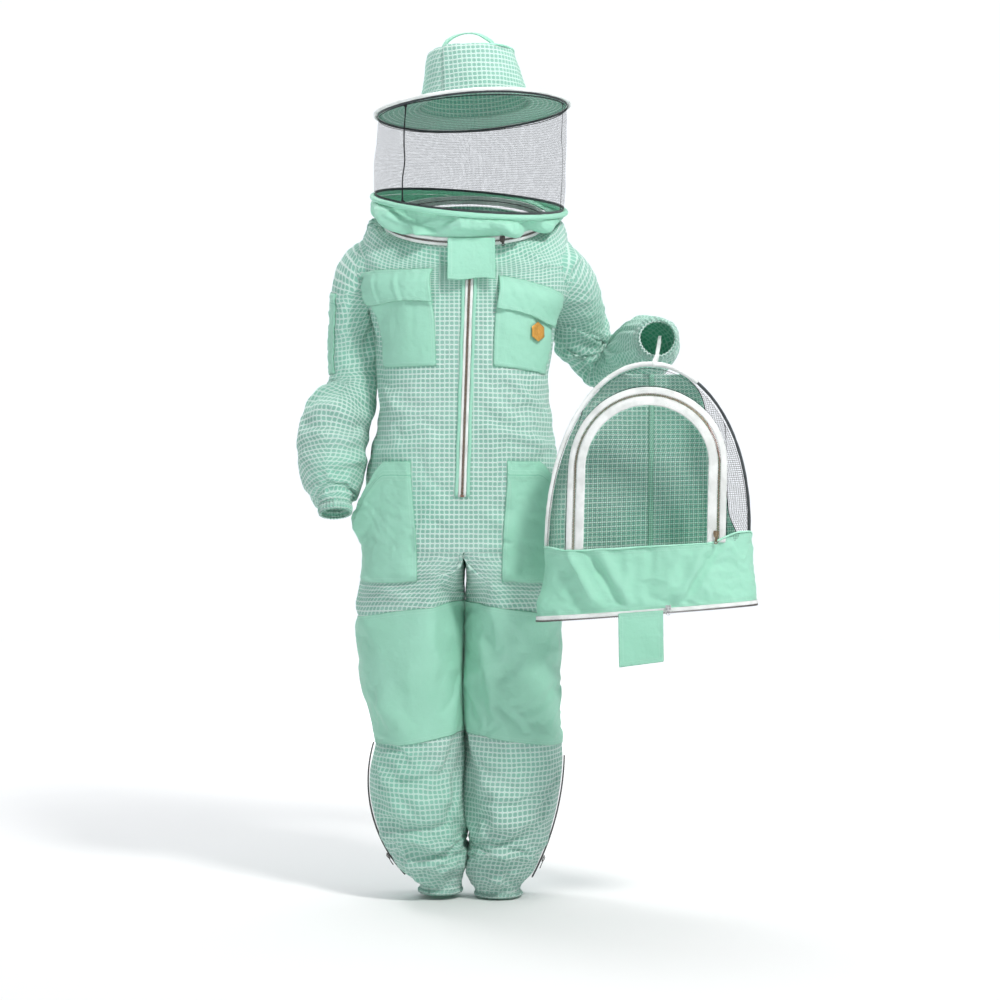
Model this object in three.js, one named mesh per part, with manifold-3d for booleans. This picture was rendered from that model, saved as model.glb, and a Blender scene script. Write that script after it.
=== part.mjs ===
// A ventilated beekeeping suit, standing as it is worn, with its round-hat veil zipped on at the neck and
// its spare fencing veil hanging at the left cuff. Millimetres, +Z up, the front faces -Y and the wearer's
// left is +X. The origin is the centre of the neck opening, where the suit lies on the wearer's shoulders.

import * as THREE from "three";
import Module from "manifold-3d";
import { mergeVertices } from "three/addons/utils/BufferGeometryUtils.js";

const wasm = await Module();
wasm.setup();

// ---- Driving dimensions ----

const MESH = 4; // three-layer ventilated mesh
const POPLIN = 2; // plain poplin, doubled at its hems
const NET = 1.6; // veil netting
const TAPE = 2; // zip tape with its teeth
const GAP = 0.4; // clearance between pieces that touch
const LIFT = 2.2; // how far a patch stands off the cloth under it

const FRONT_Y = -135; // the front of the suit is flat down the zip
const NECK = { y: 4, z: 11, radius: 150, pitch: 22 }; // pitch in degrees, the front edge lower
const CROTCH_Z = -600;
const KNEE_TOP_Z = -705;
const KNEE_BOTTOM_Z = -946;
const CHEST_FLAP = 60; // height of a chest pocket's flap
const THROAT_FLAP = { x: 14, top: -28.5, width: 86, height: 74, thick: 2.4 };

const DEG = Math.PI / 180;
const clamp01 = (x) => Math.min(1, Math.max(0, x));
const smooth = (x) => clamp01(x) ** 2 * (3 - 2 * clamp01(x));
const lerp = (a, b, t) => a + (b - a) * t;

const COLOURS = {
  mesh: { color: 0xa9e6d0, roughness: 0.9, metalness: 0 },
  poplin: { color: 0x8fe3c0, roughness: 0.75, metalness: 0 },
  white: { color: 0xf2f2f0, roughness: 0.7, metalness: 0 },
  net: { color: 0x3a3a40, roughness: 0.8, metalness: 0 },
  copper: { color: 0x8a6a58, roughness: 0.35, metalness: 0.9 },
  gold: { color: 0xd9a860, roughness: 0.5, metalness: 0.1 },
};
const materials = Object.fromEntries(
  Object.entries(COLOURS).map(([name, look]) => [name, new THREE.MeshStandardMaterial(look)]),
);

const suit = new THREE.Group();
suit.name = "beekeeping_suit";

function addMesh(parent, name, geometry, look) {
  const mesh = new THREE.Mesh(geometry, materials[look]);
  mesh.name = name;
  parent.add(mesh);
  return mesh;
}

// ---- Surfaces: functions of u, once round from the front centre, and v, from top to bottom ----

const superPower = (value, n) => Math.sign(value) * Math.abs(value) ** (2 / n);

// Catmull-Rom between the rings' own numbers, so a stack of rings is smooth from one to the next.
function between(rings, v, key, fallback = 0) {
  const at = clamp01(v) * (rings.length - 1);
  const i = Math.min(rings.length - 2, Math.floor(at));
  const t = at - i;
  const value = (k) => rings[Math.min(rings.length - 1, Math.max(0, k))][key] ?? fallback;
  const [a, b, c, d] = [value(i - 1), value(i), value(i + 1), value(i + 2)];
  return 0.5 * (2 * b + (c - a) * t + (2 * a - 5 * b + 4 * c - d) * t * t + (3 * b - a - 3 * c + d) * t ** 3);
}

// A tube through rings of half-width a and half-depth b, each about its own centre, pitched and rolled.
// A ring's rise lifts its two sides, as a shoulder does.
function ringStack(rings) {
  const surface = (u, v) => {
    const get = (key, fallback) => between(rings, v, key, fallback);
    const angle = 2 * Math.PI * u;
    const n = get("n", 2.3);
    const point = new THREE.Vector3(
      get("a") * superPower(Math.sin(angle), n), -get("b") * superPower(Math.cos(angle), n), 0,
    );
    point.applyEuler(new THREE.Euler(get("pitch") * DEG, get("roll") * DEG, 0));
    point.z += get("rise") * Math.sin(angle) ** 2;
    return point.add(new THREE.Vector3(get("x"), get("y"), get("z")));
  };
  surface.vAt = (z, u = 0.25) => {
    let [low, high] = [0, 1];
    for (let k = 0; k < 30; k++) {
      const middle = (low + high) / 2;
      if (surface(u, middle).z > z) low = middle;
      else high = middle;
    }
    return (low + high) / 2;
  };
  return surface;
}

// A tube round a curve through the centres, a across and b deep, with frames that don't twist.
function spineTube(rings) {
  const curve = new THREE.CatmullRomCurve3(rings.map((r) => new THREE.Vector3(...r.at)));
  const steps = 120;
  const backs = []; // the direction that starts as +Y and is carried along without twisting
  for (let i = 0; i <= steps; i++) {
    const tangent = curve.getTangent(i / steps);
    const back = (backs[i - 1] ?? new THREE.Vector3(0, 1, 0)).clone();
    backs.push(back.addScaledVector(tangent, -back.dot(tangent)).normalize());
  }
  return (u, v) => {
    const at = clamp01(v) * steps;
    const i = Math.min(steps - 1, Math.floor(at));
    const tangent = curve.getTangent(clamp01(v));
    const back = backs[i].clone().lerp(backs[i + 1], at - i);
    back.addScaledVector(tangent, -back.dot(tangent)).normalize();
    const side = tangent.clone().cross(back);
    const angle = 2 * Math.PI * u;
    return curve.getPoint(clamp01(v))
      .addScaledVector(back, between(rings, v, "b") * -Math.cos(angle))
      .addScaledVector(side, between(rings, v, "a") * Math.sin(angle));
  };
}

function outwardNormal(surface, u, v) {
  const e = 1e-4;
  const along = surface(u, Math.min(1, v + e)).sub(surface(u, Math.max(0, v - e)));
  const round = surface(u + e, v).sub(surface(u - e, v));
  return along.cross(round).normalize();
}

// ---- Solids ----

// A closed sheet of cloth over a patch of a surface, between the offsets inner and outer from it.
function sheet(surface, { u = [0, 1], v = [0, 1], nu = 12, nv = 6, inner, outer }) {
  const whole = u[1] - u[0] === 1;
  const point = (i, j, offset) => {
    const [uu, vv] = [lerp(u[0], u[1], i / nu), lerp(v[0], v[1], j / nv)];
    const far = typeof offset === "function" ? offset(i / nu, j / nv) : offset;
    return surface(uu, vv).addScaledVector(outwardNormal(surface, uu, vv), far);
  };
  const columns = whole ? nu : nu + 1;
  const positions = [];
  for (const offset of [outer, inner]) {
    for (let j = 0; j <= nv; j++) for (let i = 0; i < columns; i++) positions.push(...point(i, j, offset));
  }
  const at = (face, i, j) => face * columns * (nv + 1) + j * columns + (i % columns);
  const index = [];
  const quad = (a, b, c, d) => index.push(a, b, c, a, c, d);
  for (let j = 0; j < nv; j++) {
    for (let i = 0; i < nu; i++) {
      quad(at(0, i, j), at(0, i, j + 1), at(0, i + 1, j + 1), at(0, i + 1, j));
      quad(at(1, i, j), at(1, i + 1, j), at(1, i + 1, j + 1), at(1, i, j + 1));
    }
    if (!whole) {
      quad(at(0, 0, j), at(1, 0, j), at(1, 0, j + 1), at(0, 0, j + 1));
      quad(at(0, nu, j), at(0, nu, j + 1), at(1, nu, j + 1), at(1, nu, j));
    }
  }
  for (let i = 0; i < nu; i++) {
    quad(at(0, i, 0), at(0, i + 1, 0), at(1, i + 1, 0), at(1, i, 0));
    quad(at(0, i, nv), at(1, i, nv), at(1, i + 1, nv), at(0, i + 1, nv));
  }
  return facingOut(positions, index);
}

// The geometry with its faces pointing out, whichever way its grid ran.
function facingOut(positions, index) {
  const p = (k) => new THREE.Vector3().fromArray(positions, 3 * k);
  let volume = 0;
  for (let k = 0; k < index.length; k += 3) {
    volume += p(index[k]).dot(p(index[k + 1]).cross(p(index[k + 2])));
  }
  if (volume < 0) index.reverse();
  const geometry = new THREE.BufferGeometry();
  geometry.setAttribute("position", new THREE.Float32BufferAttribute(positions, 3));
  return geometry.setIndex(index);
}

// A flat band along a path: wide across it and thick outwards, each point with its own outward normal.
function ribbon(points, normals, wide, thick, closed = false) {
  const section = [[-0.5, 0], [0.5, 0], [0.5, 1], [-0.5, 1]];
  const positions = [];
  const index = [];
  const count = points.length;
  points.forEach((centre, i) => {
    const before = points[closed ? (i + count - 1) % count : Math.max(0, i - 1)];
    const after = points[closed ? (i + 1) % count : Math.min(count - 1, i + 1)];
    const across = after.clone().sub(before).cross(normals[i]).normalize();
    for (const [s, t] of section) {
      const corner = centre.clone().addScaledVector(across, s * wide);
      positions.push(...corner.addScaledVector(normals[i], t * thick));
    }
  });
  for (let i = 0; i < (closed ? count : count - 1); i++) {
    const [here, next] = [4 * i, 4 * ((i + 1) % count)];
    for (let k = 0; k < 4; k++) {
      const l = (k + 1) % 4;
      index.push(here + k, here + l, next + l, here + k, next + l, next + k);
    }
  }
  if (!closed) {
    const end = 4 * (count - 1);
    index.push(0, 2, 1, 0, 3, 2, end, end + 1, end + 2, end, end + 2, end + 3);
  }
  return facingOut(positions, index);
}

// A round wire or piping along a path, which is closed if it comes back to its start.
function roundTube(points, radius, closed, sides = 8) {
  const curve = new THREE.CatmullRomCurve3(points, closed);
  const section = new THREE.Shape().absarc(0, 0, radius, 0, 2 * Math.PI);
  const options = { extrudePath: curve, steps: points.length, curveSegments: sides, bevelEnabled: false };
  return new THREE.ExtrudeGeometry(section, options);
}

function toManifold(geometry) {
  const bare = geometry.index ? geometry.toNonIndexed() : geometry.clone();
  bare.deleteAttribute("normal");
  bare.deleteAttribute("uv");
  const merged = mergeVertices(bare, 1e-3);
  return new wasm.Manifold(new wasm.Mesh({
    numProp: 3,
    vertProperties: merged.attributes.position.array,
    triVerts: new Uint32Array(merged.index.array),
  }));
}

function toGeometry(manifold) {
  const mesh = manifold.getMesh();
  const geometry = new THREE.BufferGeometry();
  geometry.setAttribute("position", new THREE.BufferAttribute(mesh.vertProperties.slice(), 3));
  return geometry.setIndex(new THREE.BufferAttribute(mesh.triVerts, 1));
}

// The main body of a cut solid, without the slivers a cut leaves.
function largest(manifold) {
  return manifold.decompose().reduce((a, b) => (b.volume() > a.volume() ? b : a));
}

// The full solid inside a tube, grown by some mm: what an armhole is cut with.
function coreOf(surface, vEnd, nu, nv, grow) {
  const positions = [];
  const index = [];
  for (let j = 0; j <= nv; j++) {
    for (let i = 0; i < nu; i++) {
      const [u, v] = [i / nu, (vEnd * j) / nv];
      positions.push(...surface(u, v).addScaledVector(outwardNormal(surface, u, v), grow));
    }
  }
  const rowCentre = (j) => {
    const sum = new THREE.Vector3();
    for (let i = 0; i < nu; i++) sum.add(new THREE.Vector3().fromArray(positions, 3 * (j * nu + i)));
    return sum.divideScalar(nu);
  };
  const [first, last] = [rowCentre(0), rowCentre(nv)];
  const top = positions.push(...first) / 3 - 1;
  const bottom = positions.push(...last) / 3 - 1;
  for (let i = 0; i < nu; i++) {
    const k = (i + 1) % nu;
    for (let j = 0; j < nv; j++) {
      const [a, b, c, d] = [j * nu + i, (j + 1) * nu + i, (j + 1) * nu + k, j * nu + k];
      index.push(a, b, c, a, c, d);
    }
    index.push(top, i, k, bottom, nv * nu + k, nv * nu + i);
  }
  return toManifold(facingOut(positions, index));
}

// ---- The coverall's body ----

// A ring of the torso from its half-width and its back: its front stays on the plane of the zip.
const torsoRing = (z, a, back, pitch = 0, n = 2.5, rise = 0) => ({
  x: 0, y: (FRONT_Y + back) / 2, z, a, b: (back - FRONT_Y) / 2 / Math.cos(pitch * DEG), pitch, n, rise,
});

const torso = ringStack([
  { x: 0, y: NECK.y, z: NECK.z, a: NECK.radius, b: NECK.radius, n: 2, pitch: NECK.pitch },
  torsoRing(-20, 182, 148, 21, 2.2, 42),
  torsoRing(-64, 198, 136, 12, 2.5, 24),
  torsoRing(-118, 196, 130, 3),
  torsoRing(-175, 170, 124),
  torsoRing(-250, 160, 114),
  torsoRing(-340, 160, 102),
  torsoRing(-430, 174, 118),
  torsoRing(-515, 190, 138),
  torsoRing(CROTCH_Z, 190, 134),
]);

const SLEEVE_COLUMNS = 18;
const UPPER_ROWS = 8;
const SEAM = 0.0008; // half the gap between two sewn panels, as a share of the way round

const rightSleeve = spineTube([
  { at: [-136, 4, -76], a: 62, b: 76 },
  { at: [-165, 6, -76], a: 68, b: 76 },
  { at: [-194, 10, -102], a: 64, b: 72 },
  { at: [-210, 16, -160], a: 43, b: 64 },
  { at: [-213, 22, -230], a: 42, b: 58 },
  { at: [-215, 22, -300], a: 44, b: 56 },
  { at: [-242, 2, -360], a: 64, b: 64 },
  { at: [-247, -22, -425], a: 60, b: 60 },
  { at: [-244, -46, -478], a: 44, b: 46 },
  { at: [-240, -62, -506], a: 30, b: 33 },
  { at: [-238, -70, -530], a: 29, b: 32 },
]);
const RIGHT_SLEEVE_PARTS = { elbow: [0.46, 0.61], cuff: 0.91 };

const leftSleeve = spineTube([
  { at: [136, 2, -78], a: 60, b: 76 },
  { at: [165, 8, -80], a: 65, b: 75 },
  { at: [194, 32, -105], a: 61, b: 64 },
  { at: [214, 72, -148], a: 53, b: 52 },
  { at: [226, 106, -194], a: 50, b: 44 },
  { at: [247, 127, -231], a: 47, b: 40 },
  { at: [279, 111, -249], a: 49, b: 42 },
  { at: [312, 62, -240], a: 60, b: 52 },
  { at: [338, -2, -218], a: 63, b: 59 },
  { at: [352, -74, -209], a: 43, b: 43 },
  { at: [354, -104, -208], a: 33, b: 33 },
]);
const LEFT_SLEEVE_PARTS = { elbow: [0.4, 0.64], cuff: 0.91 };

function addTorso(parent) {
  const armholes = [
    coreOf(rightSleeve, RIGHT_SLEEVE_PARTS.elbow[0], SLEEVE_COLUMNS, UPPER_ROWS, 1.2),
    coreOf(leftSleeve, LEFT_SLEEVE_PARTS.elbow[0], SLEEVE_COLUMNS, UPPER_ROWS, 1.2),
  ];
  const cutArmholes = (geometry) => {
    const panel = toManifold(geometry);
    return toGeometry(panel.subtract(armholes[0]).subtract(armholes[1]));
  };
  const shell = { v: [0.004, 0.9995], nv: 18, inner: -MESH, outer: 0 };
  const panels = {
    torso_front_left: { u: [0.0035, 0.25 - SEAM], nu: 9 },
    torso_back: { u: [0.25 + SEAM, 0.75 - SEAM], nu: 16 },
    torso_front_right: { u: [0.75 + SEAM, 0.9965], nu: 9 },
  };
  for (const [name, range] of Object.entries(panels)) {
    addMesh(parent, name, cutArmholes(sheet(torso, { ...shell, ...range })), "mesh");
  }
  const waist = { u: [0.3, 0.7], v: [torso.vAt(-322), torso.vAt(-358)], nu: 12, nv: 1 };
  const inside = { inner: -MESH - LIFT - 2, outer: -MESH - LIFT };
  addMesh(parent, "waist_elastic", sheet(torso, { ...waist, ...inside }), "white");
}

// A sleeve ends where it meets the inside of the torso.
const torsoInside = coreOf(torso, 1, 32, 18, -MESH - GAP);

function addSleeve(parent, side, sleeve, parts) {
  const seam = 0.0015;
  const [elbowTop, elbowBottom] = parts.elbow;
  const pieces = {
    upper_sleeve: [0, elbowTop - seam, UPPER_ROWS],
    elbow_sleeve: [elbowTop + seam, elbowBottom - seam, 3],
    lower_sleeve: [elbowBottom + seam, parts.cuff - seam, 6],
    wrist_cuff: [parts.cuff + seam, 1, 2],
  };
  for (const [piece, [top, bottom, nv]] of Object.entries(pieces)) {
    let geometry = sheet(sleeve, { v: [top, bottom], nu: SLEEVE_COLUMNS, nv, inner: -MESH, outer: 0 });
    if (top === 0) geometry = toGeometry(largest(toManifold(geometry).subtract(torsoInside)));
    addMesh(parent, `${side}_${piece}`, geometry, "mesh");
  }
}

function addSleevePocket(parent) {
  const range = { u: [0.7, 0.9], v: [0.245, RIGHT_SLEEVE_PARTS.elbow[0] - 0.01], nu: 8, nv: 8 };
  const pocket = sheet(rightSleeve, { ...range, inner: LIFT, outer: LIFT + POPLIN });
  addMesh(parent, "sleeve_pocket", pocket, "poplin");
}

// ---- Legs: each starts as its half of the torso's bottom ring and becomes round ----

const LEG_SPLIT = 3; // half the gap between the two legs at the crotch

function legSurface(side, rings) {
  const stack = ringStack(rings);
  const surface = (u, v) => {
    const round = stack(u, v);
    const halfWay = smooth((CROTCH_Z - between(rings, v, "z")) / 110);
    if (halfWay >= 1) return round;
    const angle = 2 * Math.PI * u;
    const toSide = side * Math.sin(angle);
    const edge = torso(u, 1);
    const half = toSide > 0
      ? new THREE.Vector3(side * Math.max(LEG_SPLIT, Math.abs(edge.x)), edge.y, round.z)
      : new THREE.Vector3(side * LEG_SPLIT, edge.y, round.z);
    return half.lerp(round, halfWay);
  };
  surface.vAt = stack.vAt;
  return surface;
}

// The zip down the outer side of each leg lies on an arc, given by its centre across and up and its radius.
const LEG_ARC = {
  right: { x: 76, z: -1032, radius: 255, side: -1 },
  left: { x: -328, z: -971, radius: 512, side: 1 },
};
const arcX = (arc, z) => arc.x + arc.side * Math.sqrt(arc.radius ** 2 - (z - arc.z) ** 2);

// A leg ring from its inner and outer edges.
const leg = (inner, outer, z, b) => ({
  x: (inner + outer) / 2, y: 2, z, a: Math.abs(outer - inner) / 2, b, n: 2.1,
});
const lowerLeg = (side, rings) => rings.map(
  ([z, inner, depth]) => leg(inner, arcX(LEG_ARC[side], z), z, depth),
);

const rightLeg = legSurface(-1, [
  leg(-3, -193, CROTCH_Z - 1, 120), leg(-4, -198, -655, 112), leg(-4, -202, KNEE_TOP_Z, 106),
  leg(-11, -195, -840, 98), leg(-6, -176, -915, 95),
  ...lowerLeg("right", [
    [-955, -5, 93], [-1010, -4, 92], [-1065, -1, 92], [-1125, -2, 86], [-1165, -2, 76], [-1198, -3, 62],
  ]),
  leg(-7, -86, -1222, 47), leg(-7, -86, -1240, 47),
]);
const leftLeg = legSurface(1, [
  leg(3, 193, CROTCH_Z - 1, 120), leg(4, 188, -655, 112), leg(7, 183, KNEE_TOP_Z, 104),
  leg(5, 177, -840, 97), leg(4, 178, -915, 94),
  ...lowerLeg("left", [
    [-990, 5, 92], [-1065, 5, 90], [-1125, 6, 82], [-1165, 7, 74], [-1202, 10, 66],
  ]),
  leg(20, 106, -1228, 48), leg(20, 106, -1246, 48),
]);

function addLeg(parent, side, surface, bottomZ) {
  const v = (z) => surface.vAt(z);
  const tube = (name, top, bottom, nv, look, u = [0, 1], nu = 20) => {
    const inner = look === "poplin" ? -POPLIN : -MESH;
    const geometry = sheet(surface, { u, v: [v(top), v(bottom)], nu, nv, inner, outer: 0 });
    addMesh(parent, `${side}_${name}`, geometry, look);
  };
  const half = 0.25 - SEAM;
  tube("thigh", CROTCH_Z - 1, KNEE_TOP_Z + GAP, 4, "mesh", [0, 1], 24);
  tube("knee_patch", KNEE_TOP_Z - GAP, KNEE_BOTTOM_Z + GAP, 4, "poplin", [-half, half], 12);
  tube("knee_back", KNEE_TOP_Z - GAP, KNEE_BOTTOM_Z + GAP, 4, "mesh", [0.25 + SEAM, 0.75 - SEAM], 12);
  tube("shin", KNEE_BOTTOM_Z - GAP, bottomZ + 26 + GAP, 9, "mesh");
  tube("ankle_cuff", bottomZ + 26 - GAP, bottomZ, 2, "mesh");
}

function addLegZip(parent, side, top, bottom) {
  const arc = LEG_ARC[side];
  const at = (z, lift) => {
    const out = new THREE.Vector3(arcX(arc, z) - arc.x, 0, z - arc.z).normalize();
    return [new THREE.Vector3(arcX(arc, z), 2, z).addScaledVector(out, lift), out];
  };
  const steps = Array.from({ length: 15 }, (_, i) => at(lerp(top, bottom, i / 14), 1.4));
  const tape = ribbon(steps.map(([p]) => p), steps.map(([, n]) => n), 16, TAPE);
  addMesh(parent, `${side}_leg_zip_tape`, tape, "net");
  const [place, out] = at(bottom + 36, 1.4 + TAPE + GAP);
  const down = new THREE.Vector3(out.z, 0, -out.x).multiplyScalar(arc.side).normalize();
  placeSlider(parent, `${side}_leg_zip_slider`, place, out, down, 12);
}

// ---- Pockets, flaps and zips on the body ----

const ALMOST_WHOLE = [0, 1 - 1e-9]; // a sheet this wide stays open instead of closing on itself

// A patch on the torso and, below the crotch, on the leg. On the left s runs the other way, so that s = 0
// is the outer edge on both sides.
function torsoPatch(parent, name, side, { u, z, lift, thick = POPLIN, nu = 10, nv = 8 }) {
  const outerFirst = (s) => (side === "left" ? 1 - s : s);
  const legs = { right: rightLeg, left: leftLeg };
  const surface = (s, t) => {
    const height = z(outerFirst(s), t);
    const cloth = height > CROTCH_Z ? torso : legs[side];
    const [from, to] = u(height);
    const across = lerp(from, to, s);
    return cloth(across, cloth.vAt(height, across));
  };
  const inner = (s, t) => lift(outerFirst(s), t);
  const outer = (s, t) => inner(s, t) + thick;
  return addMesh(parent, name, sheet(surface, { u: ALMOST_WHOLE, nu, nv, inner, outer }), "poplin");
}

const CHEST_U = { right: [0.8147, 0.962], left: [0.0407, 0.19] };

function addPockets(parent) {
  // The left pocket slants down towards the raised arm.
  for (const [side, inner, outer] of [["right", -82, -82], ["left", -94, -126]]) {
    const [low, high] = CHEST_U[side];
    const top = (s) => lerp(outer, inner, s);
    torsoPatch(parent, `chest_pocket_${side}`, side, {
      u: () => [low, high], z: (s, t) => lerp(top(s) - 16, -260 + 0.4 * (top(s) - inner), t), lift: () => LIFT,
    });
    torsoPatch(parent, `${side}_chest_flap`, side, {
      u: () => [low - 0.002, high + 0.002], z: (s, t) => top(s) - t * CHEST_FLAP,
      lift: () => LIFT + POPLIN + 5, nv: 3,
    });
  }
  addMesh(parent, "emblem_patch", emblem(), "gold");

  // The hip pockets gape at the slanted mouth, on the outer side.
  for (const [side, gape] of [["right", 22], ["left", 14]]) {
    torsoPatch(parent, `hip_pocket_${side}`, side, {
      u: (z) => {
        const inner = lerp(0.073, 0.035, smooth((CROTCH_Z + 20 - z) / 60)); // straight down past the crotch
        return side === "left" ? [inner, 0.22] : [0.78, 1 - inner];
      },
      z: (s, t) => lerp(lerp(-540, -434, smooth(s / 0.6)), -656, t),
      lift: (s, t) => LIFT + gape * (1 - smooth(Math.hypot(s, 1.3 * t) / 0.8)),
      nu: 12, nv: 10,
    });
  }
}

// A plain six-sided honeycomb cell on the left chest pocket.
function emblem() {
  const [u, z, radius] = [0.132, -196, 15];
  const v = torso.vAt(z, u);
  const normal = outwardNormal(torso, u, v);
  const geometry = new THREE.CylinderGeometry(radius, radius, 1.2, 6);
  geometry.applyQuaternion(new THREE.Quaternion().setFromUnitVectors(new THREE.Vector3(0, 1, 0), normal));
  const place = torso(u, v).addScaledVector(normal, LIFT + POPLIN + 2.2);
  return geometry.translate(...place);
}

// The slider of a zip: a body with a pull tab, flat against y = 0 and standing out to -y, pull downwards.
function sliderGeometry(pull = 26) {
  const outline = new THREE.Shape();
  outline.moveTo(-4.5, 6);
  outline.lineTo(4.5, 6);
  outline.lineTo(5, -4);
  outline.lineTo(2.5, -6);
  outline.absarc(0, -6 - pull, 3.4, 0, -Math.PI, true);
  outline.lineTo(-2.5, -6);
  outline.lineTo(-5, -4);
  const geometry = new THREE.ExtrudeGeometry(outline, { depth: 3.2, bevelEnabled: false, curveSegments: 6 });
  return geometry.rotateX(Math.PI / 2);
}

function placeSlider(parent, name, at, normal, down, pull) {
  const back = normal.clone().negate();
  const up = down.clone().negate();
  const across = back.clone().cross(up);
  const geometry = sliderGeometry(pull);
  geometry.applyMatrix4(new THREE.Matrix4().makeBasis(across, back, up));
  const mesh = addMesh(parent, name, geometry, "copper");
  mesh.position.copy(at);
  return mesh;
}

const ZIP_X = [12, -3]; // the front zip runs a little to the wearer's right on its way down
const ZIP_Z = [-54, -498];

function addFrontZip(parent) {
  const y = FRONT_Y - GAP;
  const points = ZIP_Z.map((z, i) => new THREE.Vector3(ZIP_X[i], y, z));
  const out = new THREE.Vector3(0, -1, 0);
  addMesh(parent, "front_zip_tape", ribbon(points, [out, out], 26, TAPE), "white");
  const down = points[1].clone().sub(points[0]).normalize();
  const at = points[0].clone().addScaledVector(down, 14).addScaledVector(out, TAPE + GAP);
  placeSlider(parent, "front_zip_slider", at, out, down, 22);
}

// ---- The neck zip: two tapes on one circle, the lower on the suit and the upper on the veil ----

const neckFrame = new THREE.Group();
neckFrame.position.set(0, NECK.y, NECK.z);
neckFrame.rotation.x = NECK.pitch * DEG;

function circlePoints(radius, count, from = 0, to = 2 * Math.PI, z = 0) {
  const whole = Math.abs(to - from) >= 2 * Math.PI - 1e-6;
  const points = [];
  for (let i = 0; i < count; i++) {
    const angle = lerp(from, to, i / (whole ? count : count - 1));
    points.push(new THREE.Vector3(radius * Math.sin(angle), -radius * Math.cos(angle), z));
  }
  return points;
}

function neckTape(z) {
  const points = circlePoints(NECK.radius + 1, 40, 0, 2 * Math.PI, z);
  const normals = points.map((p) => new THREE.Vector3(p.x, p.y, 0).normalize());
  return ribbon(points, normals, 8, TAPE, true);
}

function addNeckZip(parent) {
  parent.add(neckFrame);
  addMesh(neckFrame, "neck_zip_lower_tape", neckTape(7), "white");
  addMesh(neckFrame, "neck_zip_upper_tape", neckTape(16), "white");
  const angle = 27 * DEG; // beside the throat flap
  const out = new THREE.Vector3(Math.sin(angle), -Math.cos(angle), 0);
  const along = new THREE.Vector3(Math.cos(angle), Math.sin(angle), 0);
  const at = out.clone().multiplyScalar(NECK.radius + 1 + TAPE + GAP).add(new THREE.Vector3(0, 0, 13));
  placeSlider(neckFrame, "neck_zip_slider", at, out, along, 5);
}

// ---- The round-hat veil ----

const RING_R = 182;
const VEIL_RING = { x: 8, y: 4, z: 53, pitch: 13.6, roll: 4.7 };
const BRIM = { x: 14, y: 6, z: 230, pitch: -1.3, roll: -3.6 };
const CROWN_HEIGHT = 107;
const CROWN_X = 4; // the crown sits a little to one side of the brim

function ringCurve(ring, radius) {
  const euler = new THREE.Euler(ring.pitch * DEG, ring.roll * DEG, 0);
  const centre = new THREE.Vector3(ring.x, ring.y, ring.z);
  return circlePoints(radius, 36).map((p) => p.applyEuler(euler).add(centre));
}

function addRoundVeil(parent) {
  const skirtTop = { ...VEIL_RING, z: VEIL_RING.z - 7.8, a: RING_R - 2, b: RING_R - 2, n: 2 };
  const skirt = ringStack([
    skirtTop,
    { x: 4, y: 2, z: 38, a: 173, b: 173, n: 2, pitch: 17, roll: 2 },
    { x: 0, y: NECK.y - 7.7, z: NECK.z + 19, a: NECK.radius + 4, b: NECK.radius + 4, n: 2, pitch: NECK.pitch },
  ]);
  addMesh(parent, "collar_skirt", sheet(skirt, { nu: 32, nv: 5, inner: -POPLIN, outer: 0 }), "poplin");
  addMesh(parent, "neck_ring", roundTube(ringCurve(VEIL_RING, RING_R), 5, true), "poplin");

  const net = ringStack([
    { ...BRIM, z: BRIM.z - 7, a: RING_R - 6, b: RING_R - 6, n: 2 },
    { ...VEIL_RING, z: VEIL_RING.z + 7, a: RING_R - 3, b: RING_R - 3, n: 2 },
  ]);
  addMesh(parent, "veil_net", sheet(net, { nu: 36, nv: 3, inner: -NET, outer: 0 }), "net");

  const { x, top: flapTop, width, height, thick } = THROAT_FLAP;
  const flap = new THREE.BoxGeometry(width, thick, height).translate(x, FRONT_Y - 14, flapTop - height / 2);
  addMesh(parent, "throat_flap", flap, "poplin");

  const hat = new THREE.Group();
  hat.position.set(BRIM.x, BRIM.y, BRIM.z);
  hat.rotation.set(BRIM.pitch * DEG, BRIM.roll * DEG, 0);
  parent.add(hat);
  const brim = ringStack([
    { x: CROWN_X, y: 0, z: 9, a: 104, b: 116, n: 2 },
    { x: 0, y: 0, z: 5, a: 140, b: 148, n: 2 },
    { x: 0, y: 0, z: 0, a: RING_R - 3, b: RING_R - 3, n: 2 },
  ]);
  addMesh(hat, "hat_brim", sheet(brim, { nu: 36, nv: 3, inner: -MESH / 2, outer: MESH / 2 }), "mesh");
  addMesh(hat, "brim_piping", roundTube(circlePoints(RING_R + 2, 36), 3, true, 6), "white");
  const crown = ringStack([
    { x: CROWN_X, y: 0, z: CROWN_HEIGHT, a: 78, b: 88, n: 2.2 },
    { x: CROWN_X, y: 0, z: CROWN_HEIGHT - 9, a: 84, b: 95, n: 2.2 },
    { x: CROWN_X, y: 0, z: 14, a: 102, b: 114, n: 2 },
  ]);
  addMesh(hat, "hat_crown", sheet(crown, { nu: 28, nv: 5, inner: -MESH, outer: 0 }), "mesh");
  const top = new THREE.CylinderGeometry(73, 73, MESH, 28).rotateX(Math.PI / 2).scale(1, 1.12, 1);
  addMesh(hat, "hat_crown_top", top.translate(CROWN_X, 0, CROWN_HEIGHT - 1), "mesh");
  addMesh(hat, "hanging_loop", hangingLoop(), "poplin");
}

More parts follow.
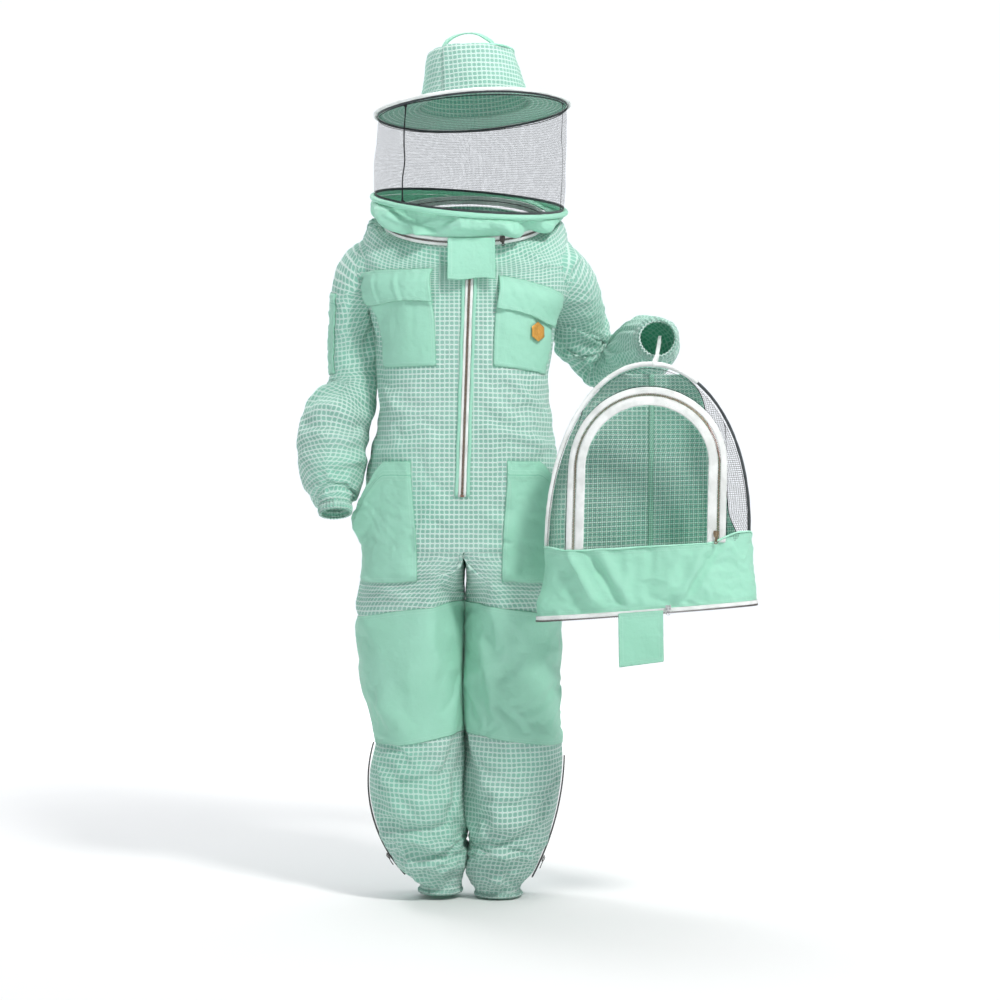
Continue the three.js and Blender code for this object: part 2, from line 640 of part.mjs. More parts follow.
// A strap that stands as an arch on the crown, wide enough for a hook or two fingers.
function hangingLoop() {
  const [half, height, base, count] = [48, 34, CROWN_HEIGHT + 5, 13];
  const points = [];
  const normals = [];
  for (let i = 0; i < count; i++) {
    const angle = (Math.PI * i) / (count - 1);
    points.push(new THREE.Vector3(-half * Math.cos(angle), 0, base + height * Math.sin(angle)));
    normals.push(new THREE.Vector3(-Math.cos(angle) / half, 0, Math.sin(angle) / height).normalize());
  }
  return ribbon(points, normals, 12, POPLIN);
}

// ---- The spare fencing veil, in its own frame: x across, y deep, z up from the hem ----

const HOOD = { at: [326, -228, -705], yaw: -8, tilt: 1, height: 440, skirt: 114, half: 181, depth: 74 };
const HOOP_RISE = 9; // the hoop's own centre above the edge of the netting
const WINDOW = { half: 106, spring: 260, bottom: HOOD.skirt + 4, tape: 34 };
const HEM_SLOPE = 0.1; // the hem hangs lower on the wearer's side, less and less towards the hoop

const hoodHalf = (z) => (z < HOOD.skirt
  ? lerp(196, HOOD.half, z / HOOD.skirt)
  : HOOD.half * Math.sqrt(Math.max(0, 1 - ((z - HOOD.skirt) / (HOOD.height - HOOD.skirt)) ** 2.2)));
const hoodDepth = (z) => HOOD.depth * (1 - 0.62 * (z / HOOD.height) ** 2);

const hoodRing = (z, inset) => ({
  x: 0, y: 0, z, a: hoodHalf(z) - inset, b: hoodDepth(z) - inset, n: 2.2,
});

// The front face: depth of the hood's surface at x across and z up.
function hoodFrontY(x, z) {
  const share = Math.min(1, Math.abs(x) / Math.max(1, hoodHalf(z)));
  return -hoodDepth(z) * (1 - share ** 2.2) ** (1 / 2.2);
}

// The arch of the window at s, from its lower left round the top to its lower right, grown by some mm.
function archPoint(s, grow) {
  const half = WINDOW.half + grow;
  const straight = WINDOW.spring - WINDOW.bottom;
  const total = 2 * straight + Math.PI * half;
  const along = s * total;
  if (along < straight) return [-half, WINDOW.bottom + along];
  if (along > total - straight) return [half, WINDOW.bottom + total - along];
  const angle = Math.PI - (along - straight) / half;
  return [half * Math.cos(angle), WINDOW.spring + half * Math.sin(angle)];
}

function hoopPoint(s) {
  const angle = Math.PI * (1 - s);
  const z = HOOD.skirt + 4 + (HOOD.height - HOOD.skirt - 10) * Math.max(0, Math.sin(angle)) ** (2 / 2.2);
  return [(HOOD.half - 1) * Math.cos(angle), z];
}

const hoodPoint = ([x, z], lift = 0) => new THREE.Vector3(x, hoodFrontY(x, z) - lift, z);

function addHoodMesh(hood, name, geometry, look) {
  const place = geometry.attributes.position;
  for (let i = 0; i < place.count; i++) {
    const slope = HEM_SLOPE * Math.max(0, 1 - place.getZ(i) / HOOD.height);
    place.setZ(i, place.getZ(i) + slope * place.getX(i));
  }
  return addMesh(hood, name, geometry, look);
}

// The elastic of the left cuff, looped under the top of the spare veil's hoop, which hangs on it.
function thumbLoop(hoodMatrix) {
  const [x, y, z] = [6, -2, hoopPoint(0.5)[1] + HOOP_RISE];
  const points = [];
  const normals = [];
  const add = (py, pz, ny, nz) => {
    points.push(new THREE.Vector3(x, py, pz));
    normals.push(new THREE.Vector3(0, ny, nz).normalize());
  };
  add(140, z + 60, 0, 1);
  add(70, z + 22, -0.3, 1);
  for (let k = 0; k <= 10; k++) {
    const angle = (100 + 24 * k) * DEG; // over the hoop, down its front and back up behind it
    add(y + 5.2 * Math.cos(angle), z + 5.2 * Math.sin(angle), Math.cos(angle), Math.sin(angle));
  }
  add(70, z + 12, 0.3, -1);
  add(140, z + 50, 0, -1);
  points.forEach((p) => p.applyMatrix4(hoodMatrix));
  normals.forEach((n) => n.transformDirection(hoodMatrix));
  return ribbon(points, normals, 6, 1.2);
}

function addSpareVeil(parent) {
  const hood = new THREE.Group();
  hood.position.set(...HOOD.at);
  hood.rotation.set(0, HOOD.tilt * DEG, HOOD.yaw * DEG, "ZYX");
  parent.add(hood);
  hood.updateMatrixWorld(true);
  addMesh(parent, "left_thumb_loop", thumbLoop(hood.matrixWorld), "white");

  const skirt = ringStack([hoodRing(HOOD.skirt, 0), hoodRing(HOOD.skirt / 2, 0), hoodRing(10, 0)]);
  addHoodMesh(hood, "spare_skirt", sheet(skirt, { nu: 32, nv: 3, inner: -POPLIN, outer: 0 }), "poplin");
  const hem = ringStack([hoodRing(9.4, 0), hoodRing(0, 0)]);
  addHoodMesh(hood, "spare_hem_zip_tape", sheet(hem, { nu: 32, nv: 1, inner: -TAPE, outer: 0 }), "white");

  // The front netting round the window, from the arch out to the hoop.
  const sideSurface = (s, t) => {
    const [a, b] = [archPoint(s, WINDOW.tape + 3), hoopPoint(s)];
    const [x, z] = [lerp(a[0], b[0] * 0.985, t), lerp(a[1], b[1], t)];
    return hoodPoint([x, z]);
  };
  const netting = { u: ALMOST_WHOLE, inner: 0, outer: NET };
  addHoodMesh(hood, "spare_side_net", sheet(sideSurface, { ...netting, nu: 28, nv: 3 }), "net");

  const windowSurface = (s, t) => {
    const z = lerp(WINDOW.bottom, WINDOW.spring + WINDOW.half * 0.985, s);
    const rise = Math.max(0, z - WINDOW.spring);
    const half = Math.sqrt(Math.max(0, WINDOW.half ** 2 - rise ** 2)) - 1;
    return hoodPoint([lerp(-half, half, t), z]);
  };
  addHoodMesh(hood, "spare_window_net", sheet(windowSurface, { ...netting, nu: 12, nv: 12 }), "net");

  const tapePoints = [];
  const tapeNormals = [];
  for (let i = 0; i <= 30; i++) {
    const [x, z] = archPoint(i / 30, WINDOW.tape / 2 + 1.2);
    tapePoints.push(hoodPoint([x, z]));
    const e = 0.5;
    tapeNormals.push(new THREE.Vector3(
      (hoodFrontY(x + e, z) - hoodFrontY(x - e, z)) / (2 * e), -1,
      (hoodFrontY(x, z + e) - hoodFrontY(x, z - e)) / (2 * e),
    ).normalize());
  }
  addHoodMesh(hood, "window_zip_tape", ribbon(tapePoints, tapeNormals, WINDOW.tape, TAPE), "white");

  const backRings = [HOOD.height - 14, 400, 350, 290, 220, 160, HOOD.skirt + 1].map((z) => hoodRing(z, 3));
  const backRange = { u: [0.262, 0.738], nu: 16, nv: 9, inner: -MESH, outer: 0 };
  addHoodMesh(hood, "spare_back_panel", sheet(ringStack(backRings), backRange), "mesh");

  const hoop = [];
  for (let i = 0; i <= 32; i++) {
    const [x, z] = hoopPoint(i / 32);
    hoop.push(new THREE.Vector3(x, -2, z + HOOP_RISE));
  }
  addHoodMesh(hood, "spare_hoop", roundTube(hoop, 4, false), "white");

  const out = new THREE.Vector3(0, -1, 0);
  const down = new THREE.Vector3(0, 0, -1);
  const flapSize = new THREE.BoxGeometry(78, 2.4, 92).translate(-4, -HOOD.depth - 3.4, -40);
  addHoodMesh(hood, "spare_throat_flap", flapSize, "poplin");
  placeSlider(hood, "spare_hem_zip_slider", new THREE.Vector3(44, -HOOD.depth - 1, 10), out, down, 8);
  const [zipX, zipZ] = archPoint(0.975, WINDOW.tape / 2 + 1.2);
  const slider = hoodPoint([zipX, zipZ], TAPE + 5.4);
  placeSlider(hood, "window_zip_slider", slider, out, down, 10);
}

// ---- Assembly ----

addTorso(suit);
addSleeve(suit, "right", rightSleeve, RIGHT_SLEEVE_PARTS);
addSleeve(suit, "left", leftSleeve, LEFT_SLEEVE_PARTS);
addLeg(suit, "right", rightLeg, -1240);
addLeg(suit, "left", leftLeg, -1246);
addLegZip(suit, "right", -960, -1206);
addLegZip(suit, "left", -984, -1212);
addSleevePocket(suit);
addPockets(suit);
addFrontZip(suit);
addNeckZip(suit);
addRoundVeil(suit);
addSpareVeil(suit);

export default suit;
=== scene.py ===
"""A mint ventilated beekeeping suit with its round-hat veil, and its spare fencing veil at the left cuff.

Shapes are worked out in millimetres in the part's own frame and turned into metres when a mesh is made.
"""

import math

import bpy
import numpy as np
from mathutils import Matrix, Vector


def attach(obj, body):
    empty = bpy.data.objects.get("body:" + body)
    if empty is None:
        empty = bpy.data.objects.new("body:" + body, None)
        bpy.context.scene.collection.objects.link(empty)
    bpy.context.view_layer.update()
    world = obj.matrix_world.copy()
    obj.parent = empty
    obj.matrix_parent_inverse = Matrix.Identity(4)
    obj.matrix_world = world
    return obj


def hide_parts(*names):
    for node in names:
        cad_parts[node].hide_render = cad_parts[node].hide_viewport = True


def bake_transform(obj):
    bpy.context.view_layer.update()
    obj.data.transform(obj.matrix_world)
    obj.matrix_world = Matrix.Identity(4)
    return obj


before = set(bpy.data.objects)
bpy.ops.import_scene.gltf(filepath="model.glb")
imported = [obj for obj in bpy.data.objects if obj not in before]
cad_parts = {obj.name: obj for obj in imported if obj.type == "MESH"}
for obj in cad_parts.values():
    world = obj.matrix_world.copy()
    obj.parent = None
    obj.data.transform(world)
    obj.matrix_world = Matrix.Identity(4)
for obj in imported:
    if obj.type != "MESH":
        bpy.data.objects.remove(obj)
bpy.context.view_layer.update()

MM = 0.001


# ---------------------------------------------------------------- surfaces

def between(rings, v, key, fallback=0.0):
    """Catmull-Rom between the rings' numbers."""
    values = np.array([r.get(key, fallback) for r in rings], float)
    at = np.clip(v, 0, 1) * (len(values) - 1)
    i = np.minimum(at.astype(int), len(values) - 2)
    t = at - i
    a, b, c, d = (values[np.clip(i + k, 0, len(values) - 1)] for k in (-1, 0, 1, 2))
    return 0.5 * (2 * b + (c - a) * t + (2 * a - 5 * b + 4 * c - d) * t**2 + (3 * b - a - 3 * c + d) * t**3)


def super_power(x, n):
    """The sine or cosine of a superellipse of power n."""
    return np.sign(x) * np.abs(x) ** (2 / n)


def xyz(x, y, z):
    return np.stack([x, y, z], -1)


def grids(*numbers):
    """Numbers and arrays as floats of one shape."""
    return np.broadcast_arrays(*[np.asarray(n, float) for n in numbers])


def bell(x, width):
    """1 where x is 0, falling to nothing over about two widths."""
    return np.exp(-((x / width) ** 2))


def unit(vectors):
    return vectors / np.linalg.norm(vectors, axis=-1)[..., None]


def outward(angle):
    """Level directions outwards, from the front round to +X."""
    return xyz(np.sin(angle), -np.cos(angle), 0 * angle)


def oval(angle, a, b, z):
    """Points at a height on the veil's rounded oval; the angle runs from the front to +X."""
    return xyz(a * super_power(np.sin(angle), 2.2), -b * super_power(np.cos(angle), 2.2), z)


def ring_stack(rings):
    """A tube through rings of half-width a and half-depth b; u runs once round from the front."""

    def surface(u, v):
        u, v = grids(u, v)
        get = lambda key, fallback=0.0: between(rings, v, key, fallback)
        angle, n = 2 * np.pi * u, get("n", 2.3)
        x = get("a") * super_power(np.sin(angle), n)
        y = -get("b") * super_power(np.cos(angle), n)
        pitch, roll = np.radians(get("pitch")), np.radians(get("roll"))
        z = y * np.sin(pitch) - x * np.sin(roll) * np.cos(pitch) + get("rise") * np.sin(angle) ** 2
        y = y * np.cos(pitch) + x * np.sin(roll) * np.sin(pitch)
        return xyz(x * np.cos(roll) + get("x"), y + get("y"), z + get("z"))

    return surface


def spine_tube(rings):
    """A tube round a curve through the rings' centres, with frames that don't twist."""
    fine = np.linspace(0, 1, 241)
    axes = [{"x": r["at"][0], "y": r["at"][1], "z": r["at"][2], **r} for r in rings]
    line = np.stack([between(axes, fine, k) for k in "xyz"], -1)
    tangent = np.gradient(line, axis=0)
    tangent = unit(tangent)
    normal = np.zeros_like(tangent)
    start = np.array([0.0, 1.0, 0.0])
    for i, t in enumerate(tangent):
        start = start - t * (start @ t)
        start /= np.linalg.norm(start)
        normal[i] = start
    side = np.cross(tangent, normal)

    def surface(u, v):
        u, v = grids(u, v)
        pick = lambda table: np.stack([np.interp(v, fine, table[:, k]) for k in range(3)], -1)
        angle = 2 * np.pi * u
        depth = (between(rings, v, "b") * np.cos(angle))[..., None]
        across = (between(rings, v, "a") * np.sin(angle))[..., None]
        return pick(line) - depth * pick(normal) + across * pick(side)

    return surface


def normals_of(surface, u, v, e=1e-4):
    down = surface(u, np.minimum(1, v + e)) - surface(u, np.maximum(0, v - e))
    across = surface(u + e, v) - surface(u - e, v)
    n = np.cross(down, across)
    return n / np.maximum(np.linalg.norm(n, axis=-1), 1e-12)[..., None]


def smooth(x):
    """0 below 0, 1 above 1 and an even S between them."""
    x = np.clip(x, 0, 1)
    return x * x * (3 - 2 * x)


def height_solver(surface):
    """v at which the surface, at u, reaches a height."""

    def v_at(z, u=0.25):
        z, u = grids(z, u)
        low, high = np.zeros(z.shape), np.ones(z.shape)
        for _ in range(30):
            middle = (low + high) / 2
            above = surface(u, middle)[..., 2] > z
            low, high = np.where(above, middle, low), np.where(above, high, middle)
        return (low + high) / 2

    return v_at


# ---------------------------------------------------------------- noise for folds

_perm = np.random.default_rng(3).permutation(256)
_value = np.random.default_rng(4).uniform(-1, 1, 256)


def value_noise(p):
    """Smooth noise from -1 to 1, with a cell to each unit of p."""
    p = np.asarray(p, float)
    cell = np.floor(p).astype(int)
    f = p - cell
    w = f * f * (3 - 2 * f)
    total = 0.0
    for dx in (0, 1):
        for dy in (0, 1):
            for dz in (0, 1):
                k = _perm[(cell[..., 0] + dx) & 255]
                k = _perm[(k + cell[..., 1] + dy) & 255]
                k = _perm[(k + cell[..., 2] + dz) & 255]
                weight = 1.0
                for axis, d in enumerate((dx, dy, dz)):
                    weight = weight * (w[..., axis] if d else 1 - w[..., axis])
                total = total + _value[k] * weight
    return total


def rumple(p, scale, octaves=3, seed=0.0):
    """Fractal noise of points in mm; scale is one size or a size per axis."""
    q = np.asarray(p, float) / np.asarray(scale, float) + seed
    return sum(value_noise(q * 2**k + 17.3 * k) / 2**k for k in range(octaves))


def crease(p, scale, octaves=2, seed=0.0):
    """Ridged noise: soft cloth folds with sharper crests, from 0 to about 1."""
    return 1 - np.abs(rumple(p, scale, octaves, seed)) * 1.3


# ---------------------------------------------------------------- meshes

def put_in_scene(name, data):
    """A new object that holds some data, linked to the scene."""
    ob = bpy.data.objects.new(name, data)
    bpy.context.scene.collection.objects.link(ob)
    return ob


def new_object(name, vertices, faces, uvs=None, seam=None, shade_smooth=True):
    mesh = bpy.data.meshes.new(name)
    mesh.from_pydata((np.asarray(vertices, float).reshape(-1, 3) * MM).tolist(), [], faces)
    mesh.update()
    if uvs is not None:
        layer = mesh.uv_layers.new(name="cloth")
        layer.data.foreach_set("uv", np.asarray(uvs, np.float32).ravel())
    if seam is not None:
        mesh.attributes.new("seam", "FLOAT", "POINT").data.foreach_set(
            "value", np.asarray(seam, np.float32).ravel())
    if shade_smooth:
        mesh.shade_smooth()
    return put_in_scene(name, mesh)


def cloth_grid(name, points, closed=False, panels=None, seams_u=(), seams_v=(), centre=None):
    """A sheet from a grid of points, rows down and columns across, with a UV in metres along the cloth.

    panels lists (first column, last column, origin column): the weave starts anew in each one.
    seams_u and seams_v are columns and rows where a seam runs.
    """
    rows, columns = points.shape[:2]
    looped = np.concatenate([points, points[:, :1]], 1) if closed else points
    step_u = np.linalg.norm(np.diff(looped, axis=1), axis=-1) * MM
    step_v = np.linalg.norm(np.diff(points, axis=0), axis=-1) * MM
    along = np.concatenate([np.zeros((rows, 1)), np.cumsum(step_u, 1)], 1)
    down = np.concatenate([[0], np.cumsum(step_v.mean(1))])
    last = looped.shape[1] - 1
    panels = panels or [(0, last, 0 if centre is None else centre)]
    faces, uvs = [], []
    for first, end, origin in panels:
        for j in range(rows - 1):
            for i in range(first, end):
                faces.append((j * columns + i % columns, (j + 1) * columns + i % columns,
                              (j + 1) * columns + (i + 1) % columns, j * columns + (i + 1) % columns))
                for jj, ii in ((j, i), (j + 1, i), (j + 1, i + 1), (j, i + 1)):
                    uvs.append((along[jj, ii] - along[jj, origin], -down[jj]))
    distance = np.full((rows, columns), 1.0)
    whole = along[:, -1:] if closed else 10.0
    for k in seams_u:
        gap = np.abs(along[:, :columns] - along[:, [k]])
        distance = np.minimum(distance, np.minimum(gap, np.abs(whole - gap)))
    for k in seams_v:
        distance = np.minimum(distance, np.abs(down - down[k])[:, None])
    return new_object(name, points, faces, uvs, distance)


def tube_along(name, path, radius, sides=10, closed=False, squash=1.0, normals=None, wobble=None):
    """A round or flattened tube along a path, with UV in metres."""
    path = np.asarray(path, float)
    count = len(path)
    if closed:
        tangent = np.roll(path, -1, 0) - np.roll(path, 1, 0)
    else:
        tangent = np.gradient(path, axis=0)
    tangent = unit(tangent)
    if normals is None:
        normal = np.zeros_like(tangent)
        n = np.cross(tangent[0], [0.3, 0.2, 1.0])
        for i, t in enumerate(tangent):
            n = n - t * (n @ t)
            n /= np.linalg.norm(n)
            normal[i] = n
    else:
        normal = np.asarray(normals, float)
        normal = normal - tangent * (normal * tangent).sum(1)[:, None]
        normal = unit(normal)
    side = np.cross(tangent, normal)
    angle = 2 * np.pi * np.arange(sides) / sides
    r = np.broadcast_to(np.asarray(radius, float), (count,))[:, None, None]
    ring = (normal[:, None] * np.cos(angle)[None, :, None] * squash
            + side[:, None] * np.sin(angle)[None, :, None])
    points = path[:, None] + r * ring
    if wobble is not None:
        points = points + ring * wobble(points)[..., None]
    if closed:
        points = np.concatenate([points, points[:1]])
    rows = len(points)
    length = np.concatenate([[0], np.cumsum(np.linalg.norm(np.diff(points[:, 0], axis=0), axis=1))]) * MM
    round_length = 2 * np.pi * float(np.mean(r)) * MM
    faces, uvs = [], []
    base = rows - 1 if closed else rows
    for j in range(rows - 1):
        for i in range(sides):
            k = (i + 1) % sides
            faces.append((j % base * sides + i, j % base * sides + k, (j + 1) % base * sides + k,
                          (j + 1) % base * sides + i))
            for jj, ii in ((j, i), (j, i + 1), (j + 1, i + 1), (j + 1, i)):
                uvs.append((ii / sides * round_length, length[jj]))
    if not closed:
        faces += [tuple(range(sides))[::-1], tuple((rows - 1) * sides + i for i in range(sides))]
        uvs += [(0, 0)] * (2 * sides)
    return new_object(name, points[:base].reshape(-1, 3), faces, uvs, np.full(base * sides, 1.0))


def band(name, path, normals, width, thick=1.2, closed=False, rows=4, crown=0.0):
    """A woven tape along a path: rows across it, slightly crowned, standing out by thick."""
    path, normals = np.asarray(path, float), np.asarray(normals, float)
    tangent = (np.roll(path, -1, 0) - np.roll(path, 1, 0)) if closed else np.gradient(path, axis=0)
    across = np.cross(tangent, normals)
    across = unit(across)
    s = np.linspace(-0.5, 0.5, rows + 1)
    w = np.broadcast_to(np.asarray(width, float), (len(path),))
    points = (path[:, None] + across[:, None] * (s[None, :, None] * w[:, None, None])
              + normals[:, None] * (thick + crown * (1 - (2 * s) ** 2))[None, :, None])
    points = points.transpose(1, 0, 2)
    ob = cloth_grid(name, points, closed=closed, seams_v=(0, rows))
    return ob


def join(name, objects):
    """One object of several, keeping their UV and seam values."""
    objects = [o for o in objects if o is not None]
    bpy.ops.object.select_all(action="DESELECT")
    for o in objects:
        o.select_set(True)
    bpy.context.view_layer.objects.active = objects[0]
    bpy.ops.object.join()
    objects[0].name = objects[0].data.name = name
    return objects[0]


def boxes(name, centres, axes, sizes):
    """Many small blocks in one mesh; axes[k] holds the three directions of block k."""
    corners = np.array([[x, y, z] for x in (-0.5, 0.5) for y in (-0.5, 0.5) for z in (-0.5, 0.5)])
    quads = [(0, 1, 3, 2), (4, 6, 7, 5), (0, 4, 5, 1), (2, 3, 7, 6), (0, 2, 6, 4), (1, 5, 7, 3)]
    centres, axes = np.asarray(centres, float), np.asarray(axes, float)
    sizes = np.broadcast_to(np.asarray(sizes, float), (len(centres), 3))
    local = corners[None] * sizes[:, None]
    points = centres[:, None] + np.einsum("kci,kij->kcj", local, axes)
    faces = [tuple(8 * k + q for q in quad) for k in range(len(centres)) for quad in quads]
    return new_object(name, points.reshape(-1, 3), faces, [(0, 0)] * (4 * len(faces)),
                      np.full(8 * len(centres), 1.0), shade_smooth=False)


def thicken(ob, mm, offset=-1.0, subdivide=0):
    """Gives a sheet its thickness, inwards unless offset says otherwise."""
    if subdivide:
        m = ob.modifiers.new("round", "SUBSURF")
        m.levels = m.render_levels = subdivide
    m = ob.modifiers.new("cloth", "SOLIDIFY")
    m.thickness, m.offset = mm * MM, offset
    m.use_even_offset = False
    return ob


# ---------------------------------------------------------------- materials

def rgb(hex_code):
    """Linear colour from the sRGB hex code."""
    c = np.array([int(hex_code[i:i + 2], 16) / 255 for i in (0, 2, 4)])
    return (*np.where(c <= 0.04045, c / 12.92, ((c + 0.055) / 1.055) ** 2.4), 1.0)


class Shader:
    """A small builder for node materials."""

    def __init__(self, name):
        self.material = bpy.data.materials.new(name)
        self.material.use_nodes = True
        self.tree = self.material.node_tree
        self.bsdf = self.tree.nodes["Principled BSDF"]
        self.output = self.tree.nodes["Material Output"]

    def node(self, kind, inputs=(), **settings):
        n = self.tree.nodes.new(kind)
        for key, value in settings.items():
            setattr(n, key, value)
        for key, value in dict(inputs).items():
            self.feed(n.inputs[key], value)
        return n

    def feed(self, socket, value):
        if isinstance(value, bpy.types.NodeSocket):
            self.tree.links.new(value, socket)
        else:
            socket.default_value = value

    def math(self, operation, a, b=0.0):
        return self.node("ShaderNodeMath", {0: a, 1: b, 2: 0.0}, operation=operation).outputs[0]

    def mul(self, a, b):
        return self.math("MULTIPLY", a, b)

    def add(self, a, b):
        return self.math("ADD", a, b)

    def sub(self, a, b):
        return self.math("SUBTRACT", a, b)

    def most(self, a, b):
        return self.math("MAXIMUM", a, b)

    def ramp(self, value, low, high, to_low=0.0, to_high=1.0):
        n = self.node("ShaderNodeMapRange", {"Value": value, "From Min": low, "From Max": high,
                                             "To Min": to_low, "To Max": to_high})
        n.interpolation_type = "SMOOTHSTEP"
        return n.outputs["Result"]

    def mix(self, factor, a, b):
        n = self.node("ShaderNodeMix", data_type="RGBA")
        for socket, value in ((n.inputs[0], factor), (n.inputs[6], a), (n.inputs[7], b)):
            self.feed(socket, value)
        return n.outputs[2]

    def noise(self, scale, detail=3.0, roughness=0.55, vector=None):
        """Noise over the piece's own space, or over a vector."""
        if vector is None:
            vector = self.place()
        return self.node("ShaderNodeTexNoise", {"Vector": vector, "Scale": scale, "Detail": detail,
                                                "Roughness": roughness}).outputs[0]

    def set(self, **inputs):
        for key, value in inputs.items():
            self.feed(self.bsdf.inputs[key.replace("_", " ")], value)

    def uv(self):
        sep = self.node("ShaderNodeSeparateXYZ",
                        {0: self.node("ShaderNodeUVMap", uv_map="cloth").outputs[0]})
        return sep.outputs[0], sep.outputs[1]

    def seam(self):
        return self.node("ShaderNodeAttribute", attribute_name="seam").outputs["Fac"]

    def place(self):
        return self.node("ShaderNodeTexCoord").outputs["Object"]

    def bump(self, height, strength, distance, normal=None):
        inputs = {"Height": height, "Strength": strength, "Distance": distance}
        if normal is not None:
            inputs["Normal"] = normal
        return self.node("ShaderNodeBump", inputs).outputs[0]

    def see_through(self, share, glow_colour):
        """Lets a share of the light through, as thin cloth does."""
        glow = self.node("ShaderNodeBsdfTranslucent", {"Color": glow_colour})
        mix = self.node("ShaderNodeMixShader", {0: share, 1: self.bsdf.outputs[0], 2: glow.outputs[0]})
        self.tree.links.new(mix.outputs[0], self.output.inputs[0])


def from_middle(s, value, pitch):
    """0 in the middle of each cell of a pitch, 1 at its edges."""
    f = s.math("FRACT", s.math("DIVIDE", value, pitch))
    return s.math("ABSOLUTE", s.sub(s.mul(f, 2.0), 1.0))


def threads_of(s, value, pitch):
    """A sine along the cloth, one wave to a thread."""
    return s.math("SINE", s.mul(value, 2 * math.pi / pitch))


def stitch_mask(s, rows=(0.0022, 0.0075)):
    """Dashes that run beside a seam, and the groove of the seam itself, which the cloth materials darken as
    painted shade.
    """
    half, pitch = 0.00045, 0.0034
    u, v = s.uv()
    seam = s.seam()
    dash = s.math("FRACT", s.math("DIVIDE", s.add(u, v), pitch))
    dash = s.math("LESS_THAN", dash, 0.68)
    line = 0.0
    for at in rows:
        near = s.math("LESS_THAN", s.math("ABSOLUTE", s.sub(seam, at)), half)
        line = s.most(near, line)
    return s.mul(line, dash), s.ramp(seam, 0.0, 0.0016)


def lattice(s, pitch):
    """Distance from the middle of each cell of a square grid in the weave, 0 at the middle, 1 at its edge."""
    u, v = s.uv()
    wander = s.noise(70.0, 1.0)
    shift = s.mul(s.sub(wander, 0.5), 0.0016)
    cell = [from_middle(s, s.add(value, shift), pitch) for value in (u, v)]
    powered = s.add(s.math("POWER", cell[0], 3.4), s.math("POWER", cell[1], 3.4))
    return s.math("POWER", powered, 1 / 3.4), cell


def mesh_cloth():
    """Three-layer mesh: a raised pale grid over sunk, greyer cells with a fine knit in them."""
    s = Shader("ventilated_mesh")
    d, (cx, _) = lattice(s, 0.0088)
    grid = s.ramp(d, 0.62, 0.92)
    u, v = s.uv()
    knit = s.mul(threads_of(s, u, 0.0011), threads_of(s, v, 0.0013))
    pores = s.ramp(knit, 0.1, 0.8)
    patchy = s.noise(7.0, 3.0)
    fresh = s.ramp(s.noise(3.1, 2.0), 0.42, 0.62)
    cells = s.mix(s.ramp(patchy, 0.35, 0.7), rgb("9ACDBE"), rgb("ACD9CD"))
    cells = s.mix(s.mul(fresh, 0.6), cells, rgb("93DDC4"))
    cells = s.mix(s.mul(pores, 0.3), cells, rgb("6FAE9D"))
    lines = s.mix(s.ramp(cx, 0.6, 0.95), rgb("F1FCF9"), rgb("D8F7EC"))
    lines = s.mix(s.mul(fresh, 0.5), lines, rgb("CDF6E7"))
    colour = s.mix(grid, cells, lines)
    stitches, groove = stitch_mask(s)
    # painted shade: the mesh turns a deeper mint in the groove along each seam, where shade falls
    colour = s.mix(s.mul(s.sub(1.0, groove), 0.4), colour, rgb("7FC4AE"))
    colour = s.mix(s.mul(stitches, 0.5), colour, rgb("F2FFFA"))
    fibre = s.noise(900.0, 2.0)
    relief = s.add(s.mul(grid, 1.0), s.mul(pores, -0.25))
    relief = s.add(relief, s.mul(fibre, 0.25))
    relief = s.add(relief, s.mul(groove, 0.8))
    relief = s.add(relief, s.mul(stitches, 0.5))
    soft = s.bump(s.noise(26.0, 3.0), 0.3, 0.006)
    s.set(Base_Color=colour, Roughness=s.ramp(grid, 0, 1, 0.95, 0.72), Specular_IOR_Level=0.25,
          Sheen_Weight=0.25, Sheen_Roughness=0.5, Normal=s.bump(relief, 0.85, 0.0008, soft))
    s.see_through(0.24, s.mix(0.5, colour, rgb("86DFC0")))
    return s.material


def poplin():
    """Plain woven cotton-polyester with a soft sheen, fine threads and small puckers along its stitching."""
    s = Shader("poplin")
    u, v = s.uv()
    weave = s.mul(threads_of(s, u, 0.00055), threads_of(s, v, 0.00065))
    slub = s.noise(60.0, vector=s.node("ShaderNodeMapping", {0: s.place(), 3: (1, 1, 18)}).outputs[0])
    patchy = s.noise(7.0, 4.0, 0.6)
    base = s.mix(s.ramp(patchy, 0.3, 0.75), rgb("B2EAD5"), rgb("A8E2CB"))
    base = s.mix(s.mul(s.ramp(slub, 0.5, 0.8), 0.18), base, rgb("C6F4E2"))
    stitches, groove = stitch_mask(s)
    # painted shade: the poplin turns a deeper mint in the groove along each seam and round the patches' sewn
    # edges, where shade falls
    base = s.mix(s.mul(s.sub(1.0, groove), 0.4), base, rgb("66BF9C"))
    base = s.mix(s.mul(stitches, 0.4), base, rgb("D8FBEC"))
    near = s.ramp(s.seam(), 0.012, 0.0)
    pucker = s.mul(near, s.noise(120.0, 2.0))
    fine = s.add(s.mul(weave, 0.06), s.mul(slub, 0.12))
    fine = s.add(fine, s.mul(stitches, 0.5))
    fine = s.add(fine, s.mul(groove, 0.6))
    normal = s.bump(s.noise(17.0, 4.0, 0.6), 0.6, 0.010)
    normal = s.bump(pucker, 0.6, 0.004, normal)
    normal = s.bump(fine, 0.7, 0.0006, normal)
    s.set(Base_Color=base, Roughness=0.6, Specular_IOR_Level=0.35, Sheen_Weight=0.3, Sheen_Roughness=0.35,
          Normal=normal)
    s.see_through(0.26, s.mix(0.5, base, rgb("78E0BB")))
    return s.material


